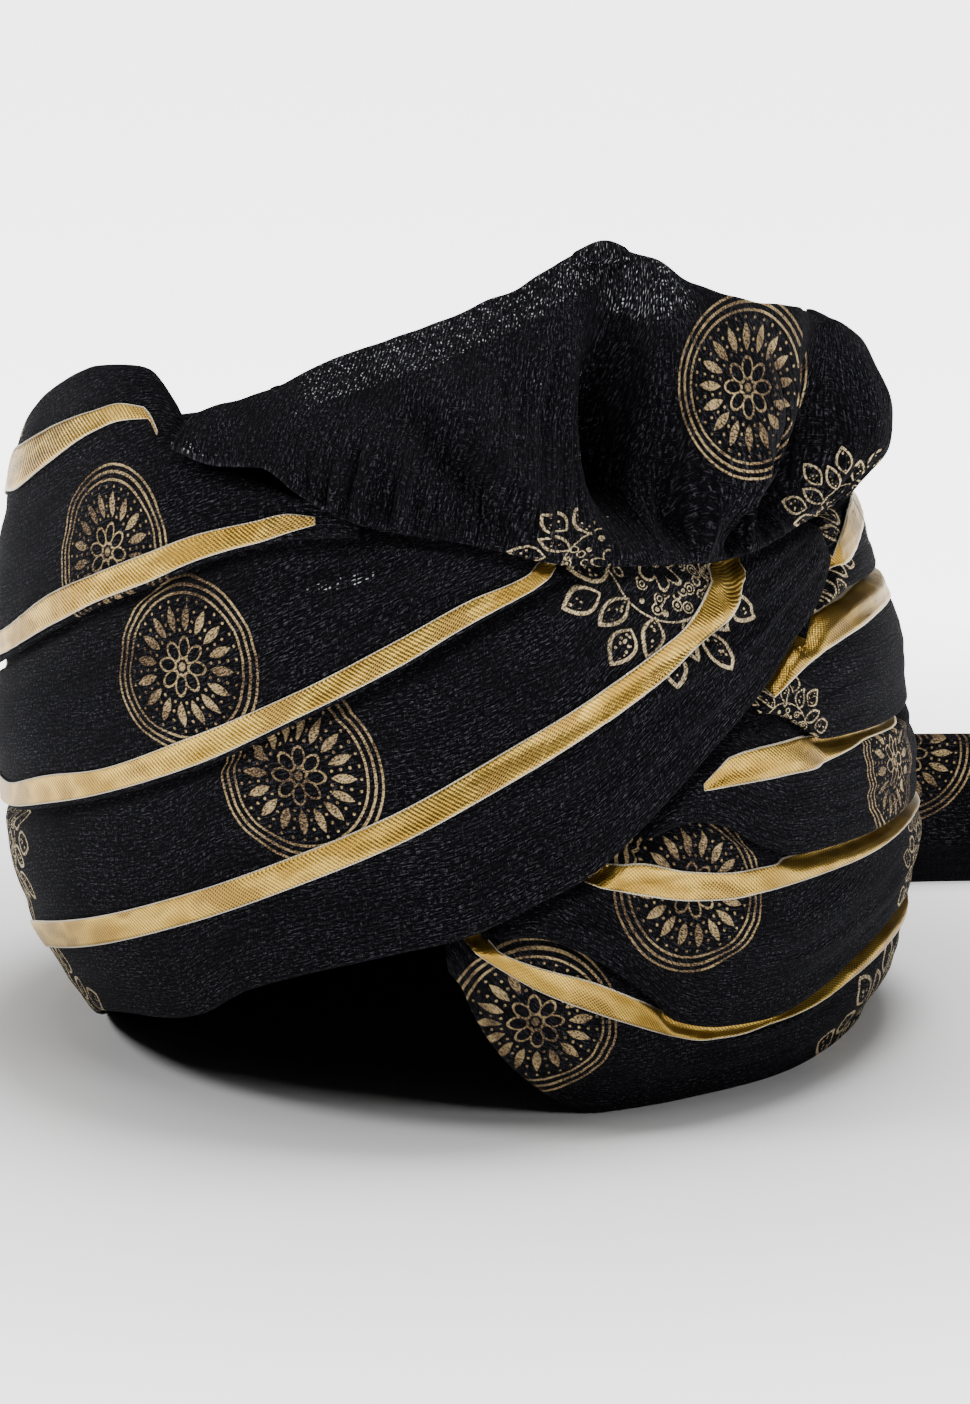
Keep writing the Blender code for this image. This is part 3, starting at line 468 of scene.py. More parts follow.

# Crepe: half pitch and half width of its checks, how far they drift, how much they darken and the fibres
# light it; half pitch and half width of the cells of its open places, and how they open, painted pale as
# backlight;
# the wear, paleness and shine of its prints; its relief, and the depth and strength of its bump
CHECKS_ALONG = (0.0010, 0.00022)
CHECKS_ACROSS = (0.0007, 0.00024)
CHECKS_ALONG_SHARE = 0.5
CHECK_DRIFT = 0.0030
CHECKS_DARKEN = 0.80
LIT_BY_FIBRES = 0.95
LIT_BY_CROSSINGS = 0.60
LIT_LEAST = 0.03
CELLS_ALONG = (0.00100, 0.00068)
CELLS_ACROSS = (0.00055, 0.00024)
HOLES_FROM = 0.82
HOLES_BY_BACKLIGHT = 0.36
WEAR_BY_TONE = 0.24
PRINT_LEAST = 0.12
ROSETTE_PALE = 0.75
PRINT_METALLIC = 0.55
CREPE_ROUGH = 0.82
PRINT_ROUGH = 0.48
RIB_PITCH = 0.00085
CREPE_RELIEF = {"crossings": 0.55, "ribs": 0.16, "checks": -0.30, "print": 0.15}
CREPE_BUMP = (0.00060, 0.90)

# Ribbon: pitch of its twill, and how much the second set of ribs leans and shows; its painted shade in
# patches and in grooves, selvages, roughness and relief (of the twill, of the crumples); depth and strength
# of its bump
TWILL_PITCH = 0.00120
TWILL_LEAN = 1.2
TWILL_CROSSED = 0.55
SHADE_PATCH_SHARE = 0.70
GROOVE_SHADE_SHARE = (0.70, 0.28)
SELVAGE_PITCH = 0.0008
SELVAGE_DULL = 0.8
RIBBON_ROUGH = (0.30, 0.16)
RIBBON_RELIEF = (0.16, 1.3)
RIBBON_BUMP = (0.00045, 0.55)

# Camera: the photograph's angle, distance, aim, range of view and field of view
AZIMUTH = 20.0
ELEVATION = 12.0
DISTANCE = 1.300
AIM_SIDEWAYS = 0.005
AIM_HEIGHT = 0.089
CLIP = (0.05, 100.0)
SENSOR = 36.0
LENS = 116.7

# Studio: the middle of its bright side, overhead and behind; how far towards it the room starts and stops
# getting brighter, and how bright it is there; the same for the floor's glow, painted light that is none
# under the turban and grows with distance from the middle; how far the floor reaches, how rough it is and
# how much rougher in places; then the soft lights: name, power, width, place
SKY_MIDDLE = (-0.20, 0.48, 0.85)
SKY = (-0.10, 0.62, 0.22, 1.30)
FLOOR_GLOW = (0.116, 0.62, 0.0, 4.2)
FLOOR_REACH = 30.0
FLOOR_ROUGH = (0.34, 0.06)
LIGHTS = (
    ("key", 22.0, 0.5, (-1.3, -0.8, 1.4)),
    ("side", 10.0, 0.4, (1.5, -0.5, 0.6)),
    ("top", 40.0, 0.8, (0.1, 0.3, 1.9)),
)


def curve(table, x, column=1):
    """Height of a table's smooth line at x: a cubic through the rows, which never overshoots them."""
    places = [row[0] for row in table]
    values = [row[column] for row in table]
    if x <= places[0]:
        return values[0]
    if x >= places[-1]:
        return values[-1]
    k = bisect_right(places, x) - 1

    def slope(i):
        return (values[i + 1] - values[i]) / (places[i + 1] - places[i])

    def tangent(i):
        if i == 0 or i == len(values) - 1:
            return slope(min(i, len(values) - 2))
        before, after = slope(i - 1), slope(i)
        return 0.0 if before * after <= 0 else 2 * before * after / (before + after)

    width = places[k + 1] - places[k]
    t = (x - places[k]) / width
    start, end = tangent(k) * width, tangent(k + 1) * width
    rise = values[k + 1] - values[k]
    return values[k] + start * t + (3 * rise - 2 * start - end) * t**2 + (start + end - 2 * rise) * t**3


def smooth(x):
    """0 below 0, 1 above 1, and a smooth rise between, of a number or an array."""
    x = np.clip(x, 0.0, 1.0)
    return x * x * (3 - 2 * x)


WALL_HEIGHTS = np.linspace(-0.01, 0.24, 251)
WALL_HALVES = np.array([curve(HALF_WIDTH, z) for z in WALL_HEIGHTS])


def ellipse_points(angle, half_width, half_depth, heights, shift):
    """Points on ellipses round the head, one for each height."""
    t = math.radians(angle)
    radius = 1 / np.hypot(math.sin(t) / half_width, math.cos(t) / half_depth)
    flat = np.outer(radius, (math.sin(t), -math.cos(t), 0.0))
    return flat + np.outer(shift, SIDEWAYS) + np.outer(heights, UP)


def wall_points(angle, heights, offsets):
    """Points at those distances outside the wound wall's mean surface, swollen a little here and there."""
    half = np.interp(heights, WALL_HEIGHTS, WALL_HALVES)
    shift = LEAN_AT_FLOOR + LEAN_PER_HEIGHT * np.asarray(heights)
    lifted = offsets + swell(angle, heights)
    return ellipse_points(angle, WIDTH_FACTOR * half + lifted, DEPTH_FACTOR * half + lifted, heights, shift)


def swell(angle, heights):
    """Soft unevenness of the wound wall, the same for every layer at a place."""
    t = math.radians(angle)
    radius = SWELL_RADIUS / SWELL_SIZE
    x, y = radius * math.sin(t), radius * math.cos(t)
    return np.array([SWELL * noise.noise(Vector((x, y, z / SWELL_SIZE))) for z in heights])


class Section:
    """A wrap's cross-section at an angle: its edges, and how far out its outer face lies."""

    def __init__(self, wrap, angle):
        self.angle, self.wrap = angle, wrap
        self.low = curve(wrap.low_table, angle)
        self.covers = [(edge(angle), weight(angle), lap) for edge, weight, lap in wrap.covers]
        tucked = wrap.tucked(angle)
        lines = sorted((z, min(lap, tucked)) for z, weight, lap in self.covers if lap and weight > 0.5)
        if wrap.top_table:
            self.top = curve(wrap.top_table, angle)
        else:
            self.top = min(z + lap for z, lap in lines)
            for z, _ in lines[1:]:
                if z > lines[0][0] + TOGETHER:
                    self.top = min(self.top, z - CLEAR)
        self.line = min([z for z, _ in lines] + [self.top])
        thick = self.top - self.low - LAP - INNER_SLOPE
        self.radius = min(max(ROLL_SHARE * thick, ROLL_LEAST), ROLL_RADIUS)
        self.crease = self.line - CREASE
        if wrap.top_table:
            self.crease = min(self.crease, self.top - self.radius)

    def sunk(self, z):
        layers = np.zeros_like(z)
        for start, weight, lap in self.covers:
            if lap and start < self.line + TOGETHER:
                start = self.line
            layers = layers + weight * smooth((z - start + CREASE) / (CREASE - CLEAR))
        return LAYER * layers * self.wrap.held(self.angle)

    def outer(self, z):
        """Offset of the outer face at heights z, folds included."""
        z = np.asarray(z, dtype=float)
        room = self.line - self.low - 2 * LAP
        sunk = self.sunk(z)
        if room <= 0:
            return -sunk
        t = np.clip((z - self.low - LAP) / room, 0.0, 1.0)
        bulge = self.wrap.bulge * 4 * t * (1 - t) * min(room / FULL_BULGE_ROOM, 1.0)
        return bulge * np.maximum(1 - sunk / LAYER, 0.0) - sunk + self.folds(z)

    def folds(self, z):
        """Soft folds that run along the wrap and die out at its edges."""
        span = max(self.line - self.low, FOLD_LEAST_SPAN)
        share = (z - self.low) / span
        depth = curve(self.wrap.fold_table, self.angle) * min(span / FOLD_FULL_SPAN, 1.0)
        place, seed = self.angle / FOLD_LENGTH, self.wrap.seed
        fine, across, along = FINE_FOLDS
        broad = [noise.noise(Vector((s, place, seed))) for s in share * self.wrap.fold_count]
        finer = [
            noise.noise(Vector((s * across, place * along, seed + 7))) for s in share * self.wrap.fold_count
        ]
        wave = np.array(broad) + fine * np.array(finer)
        return depth * wave * np.sin(math.pi * np.clip(share, 0, 1)) ** FOLD_FADE


class Wrap:
    """One turn of cloth, between a lower edge that laps over and an upper edge that is tucked in."""

    def __init__(self, name, start, end, low_table, bulge, top_table):
        self.name, self.start, self.end = name, start, end
        self.low_table, self.top_table, self.bulge = low_table, top_table, bulge
        self.covers = []
        self.fold_count, self.fold_table = WRAP_FOLDS[name]
        self.seed = 3.0 * list(WRAP_FOLDS).index(name)

    def low(self, angle):
        return curve(self.low_table, angle)

    def present(self, angle):
        """1 where this wrap lies, 0 past its ends."""
        return smooth((angle - self.start) / FADE + 1) * smooth((self.end - angle) / FADE + 1)

    def tucked(self, angle):
        """The most that this wrap goes under what covers it."""
        return LAP

    def held(self, angle):
        """1 where what covers this wrap presses it in."""
        return 1.0

    def cover_with(self, other, turn=0.0, lap=LAP):
        self.covers.append((lambda a: other.low(a + turn), lambda a: other.present(a + turn), lap))

    def cover_with_crown(self, turn=0.0):
        """The crown cloth lies tight on the wraps from the middle of the forehead to the wearer's left."""
        span = GATHER_TIGHT_AT - GATHER_TIGHT_FROM
        self.covers.append((
            lambda a: curve(GATHER, a + turn),
            lambda a: smooth((a + turn - GATHER_TIGHT_FROM) / span),
            GATHER_RISE,
        ))

    def section(self, angle):
        return Section(self, angle)

    def rows(self, angle):
        """(heights, offsets) of the closed band at an angle, from its tucked hem, up its face and back."""
        section = self.section(angle)
        low, top = section.low, max(section.top, section.low + LEAST_HEIGHT)
        bend = np.radians(np.linspace(-90, 90, HEM_STEPS))
        hem_z = low + HEM_RADIUS * (1 - np.cos(bend))
        hem_out = section.outer(hem_z) - HEM_RADIUS * (1 - np.sin(bend))
        if not self.top_table:
            up = np.linspace(low + HEM_RADIUS, top, FACE_ROWS)[1:]
            back = np.linspace(top, low + HEM_RADIUS, BACK_ROWS)[:-1]
            z = np.concatenate([hem_z, up, back])
            return z, np.concatenate([hem_out, section.outer(up), section.outer(back) - 2 * HEM_RADIUS])
        radius = section.radius
        last = max(top - radius, low + LEAST_FACE)
        up = np.linspace(low + HEM_RADIUS, last, FACE_ROWS)[1:]
        roll = np.linspace(0, math.pi, ROLL_STEPS)[1:]
        face = section.outer(np.array([last]))[0]
        roll_z, roll_out = last + radius * np.sin(roll), face - radius * (1 - np.cos(roll))
        foot = min(CORE_TOP + CLEAR, last - LEAST_DROP)
        down = np.linspace(last, foot, INSIDE_ROWS)[1:]
        inside = np.linspace(roll_out[-1], max(roll_out[-1], WALL_BASE + CLEAR), INSIDE_ROWS)[1:]
        tuck = max(min(low + HEM_TUCK, foot - LEAST_DROP), low + HEM_RADIUS)
        close_z = np.linspace(foot, tuck, CLOSING_ROWS)[1:]
        close_out = np.linspace(inside[-1], hem_out[0], CLOSING_ROWS)[1:]
        return (
            np.concatenate([hem_z, up, roll_z, down, close_z]),
            np.concatenate([hem_out, section.outer(up), roll_out, inside, close_out]),
        )

    def angles(self):
        return np.linspace(self.start, self.end, round((self.end - self.start) / STATION_STEP) + 1)

    def grid(self):
        """Points, angles and heights of the closed band, station by station."""
        points, heights = [], []
        for angle in self.angles():
            z, out = self.rows(angle)
            points.append(wall_points(angle, z, out))
            heights.append(z)
        angles = np.repeat(self.angles()[:, None], len(heights[0]), axis=1)
        return np.array(points), angles, np.array(heights)


class TailedWrap(Wrap):
    """The front wrap, which leaves the wall behind the head and runs on as the loose tail."""

    def present(self, angle):
        drawn = smooth((angle - TAIL_CLEAR_AT) / (TAIL_TIGHT_AT - TAIL_CLEAR_AT))
        return drawn * smooth((self.end - angle) / FADE + 1)

    def untucked(self, angle):
        return smooth((TUCKED_FROM - angle) / (TUCKED_FROM - UNTUCKED_AT))

    def tucked(self, angle):
        return LAP - (LAP + UNTUCKED_BY) * self.untucked(angle)

    def held(self, angle):
        return 1 - smooth((self.untucked(angle) - TUCKED_SHARE) / (1 - TUCKED_SHARE))

    def tail_grid(self):
        """Points, runs and heights of the tail, from its end to where the wrap leaves the wall."""
        z, out = self.rows(self.start)
        on_wall = wall_points(self.start, z, out)
        start = wall_points(self.start, [TAIL_MIDDLE], [0.0])[0]
        ahead = wall_points(self.start - 1, [TAIL_MIDDLE], [0.0])[0] - start
        ahead[2] = 0
        ahead /= np.linalg.norm(ahead)
        outward = np.array((ahead[1], -ahead[0], 0.0))
        outward *= np.sign(outward @ start)
        side = np.where(np.arange(len(z)) < HEM_STEPS + FACE_ROWS - 1, 0.5, -0.5)
        side[: HEM_STEPS // 2 + 1] = np.linspace(-0.5, 0.5, HEM_STEPS // 2 + 1)
        points, heights = [], []
        runs = np.linspace(TAIL_RUN, 0.0, TAIL_STEPS + 1)[:-1]
        for run in runs:
            height = curve(TAIL_HEIGHT, run) / TAIL_HEIGHT[0][1]
            upright = smooth((run - TAIL_UPRIGHT[0]) / (TAIL_UPRIGHT[1] - TAIL_UPRIGHT[0]))
            folded = tail_folds(run, z) * smooth(run / TAIL_UPRIGHT[1])
            straight = out + side * curve(TAIL_THICKNESS, run) + folded
            across = ((on_wall - start) @ outward) * (1 - upright) + straight * upright
            middle = (start + ahead * run) * (1, 1, 0)
            points.append(middle + np.outer(across, outward) + np.outer(z * height, UP))
            heights.append(z * height)
        runs = np.repeat(runs[:, None], len(z), axis=1)
        return np.array(points), runs, np.array(heights)


def tail_folds(run, heights):
    """The tail's soft waves along its run, and the folds of its layers."""
    deep, long = TAIL_WAVE
    wave = deep * noise.noise(Vector((run / long, 0.0, 11.0)))
    deep, long, high = TAIL_FOLDS
    return np.array([wave + deep * noise.noise(Vector((run / long, z / high, 5.0))) for z in heights])


def make_wraps():
    """The wraps by name, each told what lies over it."""
    wraps = {row[0]: (TailedWrap if row[0] == "front_wrap" else Wrap)(*row) for row in WRAPS}
    upper, middle, front, high, mid, low = wraps.values()
    upper.cover_with(front)
    upper.cover_with_crown(-TURN)
    middle.cover_with(front)
    middle.cover_with(upper)
    middle.cover_with_crown(-TURN)
    front.cover_with(middle, TURN)
    front.cover_with_crown()
    for wrap, above in ((high, middle), (mid, high), (low, mid)):
        wrap.cover_with(front)
        wrap.cover_with(above)
        wrap.cover_with(front, -TURN, lap=None)
    return wraps


def crown_fold(sideways, t):
    """How far the crown's front is pushed in by its folds, at a share t of its height."""
    depth = 0.0
    for foot, ridge, foot_width, ridge_width, most, deepest in CROWN_FOLDS:
        place = foot + (ridge - foot) * t
        width = foot_width + (ridge_width - foot_width) * t
        rise = smooth(t / deepest)
        if t > deepest:
            rise -= FOLD_LOST_AT_RIDGE * smooth((t - deepest) / (1 - deepest))
        depth += most * rise * math.exp(-(((sideways - place) / width) ** 2))
    return depth


def crown_pleat(u, t):
    """Small pleats that fan out from the gather and die out towards the ridge."""
    wide = abs(noise.noise(Vector((u * WIDE_PLEATS[0], t * WIDE_PLEATS[1], 2.0))))
    fine = abs(noise.noise(Vector((u * FINE_PLEATS[0], t * FINE_PLEATS[1], 9.0))))
    wave = PLEAT_MEAN - 2 * wide - fine
    return CROWN_PLEAT * wave * (1 - t) ** PLEATS_FADE * min(t * PLEATS_RISE, 1.0)


def crown_column(u):
    """Points of the crown cloth at row number u, from its turned-in front edge to its rear edge."""
    angle, z, offset, ridge_x, ridge_y, height, rear_x, rear_y, rear_z = (
        curve([(i, row[column]) for i, row in enumerate(CROWN)], u) for column in range(len(CROWN[0]))
    )
    foot = wall_points(angle, [z], [offset])[0]
    ridge = SIDEWAYS * ridge_x + BACKWARDS * ridge_y + UP * height
    rear = SIDEWAYS * rear_x + BACKWARDS * rear_y + UP * rear_z
    t = math.radians(angle)
    outward = np.array((math.sin(t), -math.cos(t), 0.0))
    room = min((height - z) / CROWN_FULL_PUFF, 1.0)
    from_end = min(u, len(CROWN) - 1 - u)
    sag = CROWN_END_SAG + (CROWN_SAG - CROWN_END_SAG) * smooth(from_end / CROWN_END_ROWS)
    points = []
    for bend in np.radians(np.linspace(*CROWN_HEM, HEM_STEPS)):
        tuck = HEM_RADIUS * (1 - math.sin(bend))
        points.append(foot - outward * tuck + UP * HEM_RADIUS * (1 - math.cos(bend)))
    for share in np.linspace(0, 1, CROWN_FRONT_ROWS)[1:]:
        point = foot + (ridge - foot) * share
        lifted = CROWN_PUFF * math.sin(math.pi * share)
        fold = crown_fold(point @ SIDEWAYS, share) + crown_pleat(u, share)
        points.append(point + outward * room * (lifted - fold))
    for share in np.linspace(0, 1, CROWN_REAR_ROWS)[1:]:
        point = ridge + (rear - ridge) * share
        point[2] = rear_z + (height - rear_z) * (1 - share) ** sag
        points.append(point)
    return points


def crown_grid():
    """Points of the whole crown cloth, with its soft waves."""
    last = len(CROWN) - 1
    grid = np.array([crown_column(last * i / (CROWN_STATIONS - 1)) for i in range(CROWN_STATIONS)])
    along = np.gradient(grid, axis=0)
    across = np.gradient(grid, axis=1)
    normal = np.cross(along, across)
    normal /= np.linalg.norm(normal, axis=2, keepdims=True)
    station, row = np.arange(CROWN_STATIONS), np.arange(grid.shape[1])
    from_ends = smooth(np.minimum(station, station[::-1]) / DRAPE_FROM_ENDS)
    from_edges = smooth((row - HEM_STEPS) / DRAPE_FROM_FOOT) * smooth(row[::-1] / DRAPE_FROM_REAR)
    for i, j in np.ndindex(grid.shape[:2]):
        drape = sum(depth * noise.noise(Vector(grid[i, j]) / size) for depth, size in CROWN_DRAPE)
        grid[i, j] += normal[i, j] * drape * from_ends[i] * from_edges[j]
    return grid


def lengths(points, axis):
    """Distance run along an axis of a grid of points, from 0."""
    steps = np.linalg.norm(np.diff(points, axis=axis), axis=2)
    start = np.zeros_like(np.take(steps, [0], axis=axis))
    return np.concatenate([start, np.cumsum(steps, axis=axis)], axis=axis)


def weave_map(points, middle):
    """Metres along a band, the same for a whole station, and across it from its first row."""
    along = lengths(points, 0)[:, middle]
    return np.stack([np.repeat(along[:, None], points.shape[1], axis=1), lengths(points, 1)], axis=2)


def print_map(prints, angles, heights):
    """For each print on a wrap, the place of every point in radii from the print's middle."""
    maps = []
    for angle, height, radius in prints:
        reach = np.linalg.norm(wall_points(angle, [height], [0.0])[0][:2])
        maps.append(np.stack([np.radians(angles - angle) * reach, heights - height], axis=2) / radius)
    return maps


def nearest_print(maps, quads, count):
    """Each face's corners in the coordinates of the print that is nearest to the face."""
    if not maps:
        return np.full((len(quads), 4, 2), FAR_AWAY)
    corners = np.array([place.reshape(count, 2)[quads] for place in maps])
    corners[(corners == FAR_AWAY).any(axis=(2, 3))] = FAR_AWAY
    nearest = np.linalg.norm(corners.mean(axis=2), axis=2).argmin(axis=0)
    return corners[nearest, np.arange(len(quads))]


def add_object(name, data):
    """A new object in the scene."""
    made = bpy.data.objects.new(name, data)
    bpy.context.scene.collection.objects.link(made)
    return made


def make_band(
    name, points, maps, material, closed_rows=True, closed_stations=False, backlit_sheer=None, turned=False
):
    """A mesh through a grid of points: stations along a band, rows round its section."""
    stations, rows = points.shape[:2]
    count = stations * rows
    index = np.arange(count).reshape(stations, rows)
    far = np.roll(index, -1, axis=0) if closed_stations else index[1:]
    near = index if closed_stations else index[:-1]
    if closed_rows:
        near, far = (np.concatenate([part, part[:, :1]], axis=1) for part in (near, far))
    quads = np.stack([near[:, :-1], far[:, :-1], far[:, 1:], near[:, 1:]], axis=2).reshape(-1, 4)
    faces = quads.tolist()
    if closed_rows and not closed_stations:
        faces += [index[0].tolist(), index[-1][::-1].tolist()]
    mesh = bpy.data.meshes.new(name)
    mesh.from_pydata(points.reshape(count, 3).tolist(), [], faces)
    weave = weave_map(points, rows // 2)
    if turned:
        weave = weave[..., ::-1]
    for layer, corners in (
        ("weave", weave.reshape(count, 2)[quads]),
        ("medallion", nearest_print(maps.get("medallion"), quads, count)),
        ("rosette", nearest_print(maps.get("rosette"), quads, count)),
    ):
        flat = np.full((len(mesh.loops), 2), FAR_AWAY)
        flat[: corners.shape[0] * 4] = corners.reshape(-1, 2)
        mesh.uv_layers.new(name=layer).data.foreach_set("uv", flat.ravel())
    attribute = mesh.attributes.new("backlit_sheer", "FLOAT", "POINT")
    if backlit_sheer is not None:
        attribute.data.foreach_set("value", backlit_sheer.ravel())
    mesh.shade_smooth()
    mesh.materials.append(material)
    return add_object(name, mesh)


class Value:
    """An output of a node. Its arithmetic adds Math nodes."""

    def __init__(self, nodes, socket):
        self.nodes, self.socket = nodes, socket

    def __add__(self, other):
        return self.nodes.math("ADD", self, other)

    def __sub__(self, other):
        return self.nodes.math("SUBTRACT", self, other)

    def __rsub__(self, other):
        return self.nodes.math("SUBTRACT", other, self)

    def __mul__(self, other):
        return self.nodes.math("MULTIPLY", self, other)

    def __truediv__(self, other):
        return self.nodes.math("DIVIDE", self, other)


class Nodes:
    """Shorthand for the node tree of a material or world: each call adds a node or a few."""

    def __init__(self, owner, shader="Principled BSDF"):
        owner.use_nodes = True
        self.tree = owner.node_tree
        self.shader = self.tree.nodes[shader]

    def put(self, socket, value):
        """Links a value to a socket, or sets the socket to a number or a colour's name."""
        if isinstance(value, Value):
            self.tree.links.new(value.socket, socket)
        elif isinstance(value, str):
            socket.default_value = (*COLOURS[value], 1.0)
        elif value is not None:
            socket.default_value = value

    def add(self, kind, *values, output=0, **settings):
        node = self.tree.nodes.new("ShaderNode" + kind)
        for key, value in settings.items():
            setattr(node, key, value)
        for socket, value in zip(node.inputs, values):
            self.put(socket, value)
        return Value(self, node.outputs[output])

    def math(self, operation, *values):
        return self.add("Math", *values, operation=operation)

    def total(self, *values):
        """Their sum, held between 0 and 1."""
        return self.add("Clamp", sum(values[1:], values[0]))

    def between(self, value, low, high):
        """0 where value is below low, 1 above high, and a smooth rise between."""
        return self.add("MapRange", value, low, high, interpolation_type="SMOOTHSTEP")

    def rise(self, value, name):
        """The same between the limits of that name."""
        return self.between(value, *RISES[name])

    def near(self, value, target, reach, soft=SOFT_LINE):
        """1 where value is within reach of target, with soft edges."""
        return self.between(self.math("ABSOLUTE", value - target), reach * (1 + soft), reach * (1 - soft))

    def stripes(self, value, half_pitch, half_width):
        """1 on stripes that lie twice half_pitch apart."""
        return self.near(self.math("PINGPONG", value, half_pitch), 0.0, half_width)

    def wave(self, value, pitch):
        return self.math("SINE", value * (2 * math.pi / pitch))

    def coordinates(self, layer):
        """(x, y, vector) of a UV map."""
        place = self.add("UVMap", uv_map=layer)
        x = self.add("SeparateXYZ", place)
        return x, Value(self, x.socket.node.outputs[1]), place

    def put_all(self, node, values, output=0):
        """Fills inputs of a node, by name or number, and returns an output of it."""
        for key, value in values.items():
            self.put(node.inputs[key], value)
        return Value(self, node.outputs[output])

    def grain(self, place, name):
        """The noise of a grain at a place in metres."""
        along, across, detail, rough = GRAINS[name]
        place = self.add("VectorMath", place, (1 / along, 1 / across, 0.0), operation="MULTIPLY")
        node = self.tree.nodes.new("ShaderNodeTexNoise")
        return self.put_all(node, {"Vector": place, "Scale": 1.0, "Detail": detail, "Roughness": rough})

    def mix(self, share, first, second):
        """A colour between two."""
        node = self.tree.nodes.new("ShaderNodeMix")
        node.data_type = "RGBA"
        return self.put_all(node, {0: share, 6: first, 7: second}, output=2)

    def set(self, **values):
        """Sets or links the shader's inputs."""
        self.put_all(self.shader, {name.replace("_", " "): value for name, value in values.items()})

    def bump(self, height, distance, strength):
        node = self.tree.nodes.new("ShaderNodeBump")
        self.set(Normal=self.put_all(node, {"Strength": strength, "Distance": distance, "Height": height}))


def polar(n, layer):
    """(radius, angle, vector) of a print's coordinates."""
    x, y, place = n.coordinates(layer)
    return n.add("VectorMath", place, operation="LENGTH", output=1), n.math("ARCTAN2", y, x), place


def rays(n, radius, turn, count):
    """Distance from the nearest of so many rays, and from the nearest gap between two."""
    half = math.pi / count
    on_ray = n.math("PINGPONG", turn, half)
    return on_ray * radius, (half - on_ray) * radius


def leaf(n, off_axis, radius, middle, half, width):
    """1 inside pointed leaves that lie along rays, off_axis being the distance from the nearest ray."""
    along = (radius - middle) / half
    return n.between((1.0 - along * along) * width - off_axis, -SOFT_LEAF, SOFT_LEAF)


def hypot(n, across, along):
    return n.math("SQRT", across * across + along * along)


def dot(n, across, along, size):
    """1 inside dots of that size."""
    return n.between(hypot(n, across, along), size * (1 + SOFT_DOT), size * (1 - SOFT_DOT))


def field(n, radius, low, high):
    """1 between two radii, with soft edges."""
    inside = n.between(radius, high + SOFT_FIELD, high - SOFT_FIELD)
    return n.between(radius, low - SOFT_FIELD, low + SOFT_FIELD) * inside


def medallion_mask(n):
    """Three rings, dots, sixteen leaves and a flower of eight petals round an eye."""
    radius, turn, _ = polar(n, "medallion")
    off_leaf, off_gap = rays(n, radius, turn, MEDALLION_LEAVES)
    start, step, size = MEDALLION_DOTS
    dots = dot(n, off_gap, n.math("PINGPONG", radius - start, step), size)
    dots = dots * field(n, radius, *MEDALLION_FIELD)
    place, size = MEDALLION_OUTER_DOTS
    outer_dots = dot(n, off_leaf, radius - place, size)
    middle, half, width, line = MEDALLION_PETAL
    petal_turn = n.math("PINGPONG", turn, math.pi / MEDALLION_PETALS)
    petal_x = radius * n.math("COSINE", petal_turn) - middle
    petal_y = radius * n.math("SINE", petal_turn)
    petals = n.near(hypot(n, petal_x / half, petal_y / width), 1.0, line)
    rings = [n.near(radius, *ring) for ring in MEDALLION_RINGS]
    leaves = leaf(n, off_leaf, radius, *MEDALLION_LEAF)
    return n.total(*rings, leaves, dots, outer_dots, petals, n.near(radius, 0.0, MEDALLION_EYE))


def rosette_mask(n):
    """Outlined leaves full of dots, two rows deep, round a ring, scrolls and a small flower."""
    radius, turn, place = polar(n, "rosette")
    outlines, insides = [], []
    for off, shapes in zip(rays(n, radius, turn, ROSETTE_LEAVES), (ROSETTE_OUTER_LEAF, ROSETTE_INNER_LEAF)):
        outline, hollow, dotted = (leaf(n, off, radius, *shape) for shape in shapes)
        outlines.append(outline - hollow)
        insides.append(dotted)
    scale, low, high = ROSETTE_DOTS
    dots = n.between(n.add("TexVoronoi", place, None, scale), high, low) * n.math("MAXIMUM", *insides)
    scale, *lines = ROSETTE_SCROLLS
    middles = n.add("TexVoronoi", place, None, scale)
    scrolls = n.math("MAXIMUM", *(n.near(middles, *line) for line in lines))
    scrolls = scrolls * field(n, radius, *ROSETTE_FIELD)
    petals, depth, place, line = ROSETTE_FLOWER
    petal = n.math("ABSOLUTE", n.math("COSINE", turn * (petals / 2))) * depth
    flower = n.math("MAXIMUM", n.near(radius - petal, place, line), n.between(radius, *ROSETTE_EYE))
    return n.total(*outlines, dots, n.near(radius, *ROSETTE_RING), scrolls, flower)


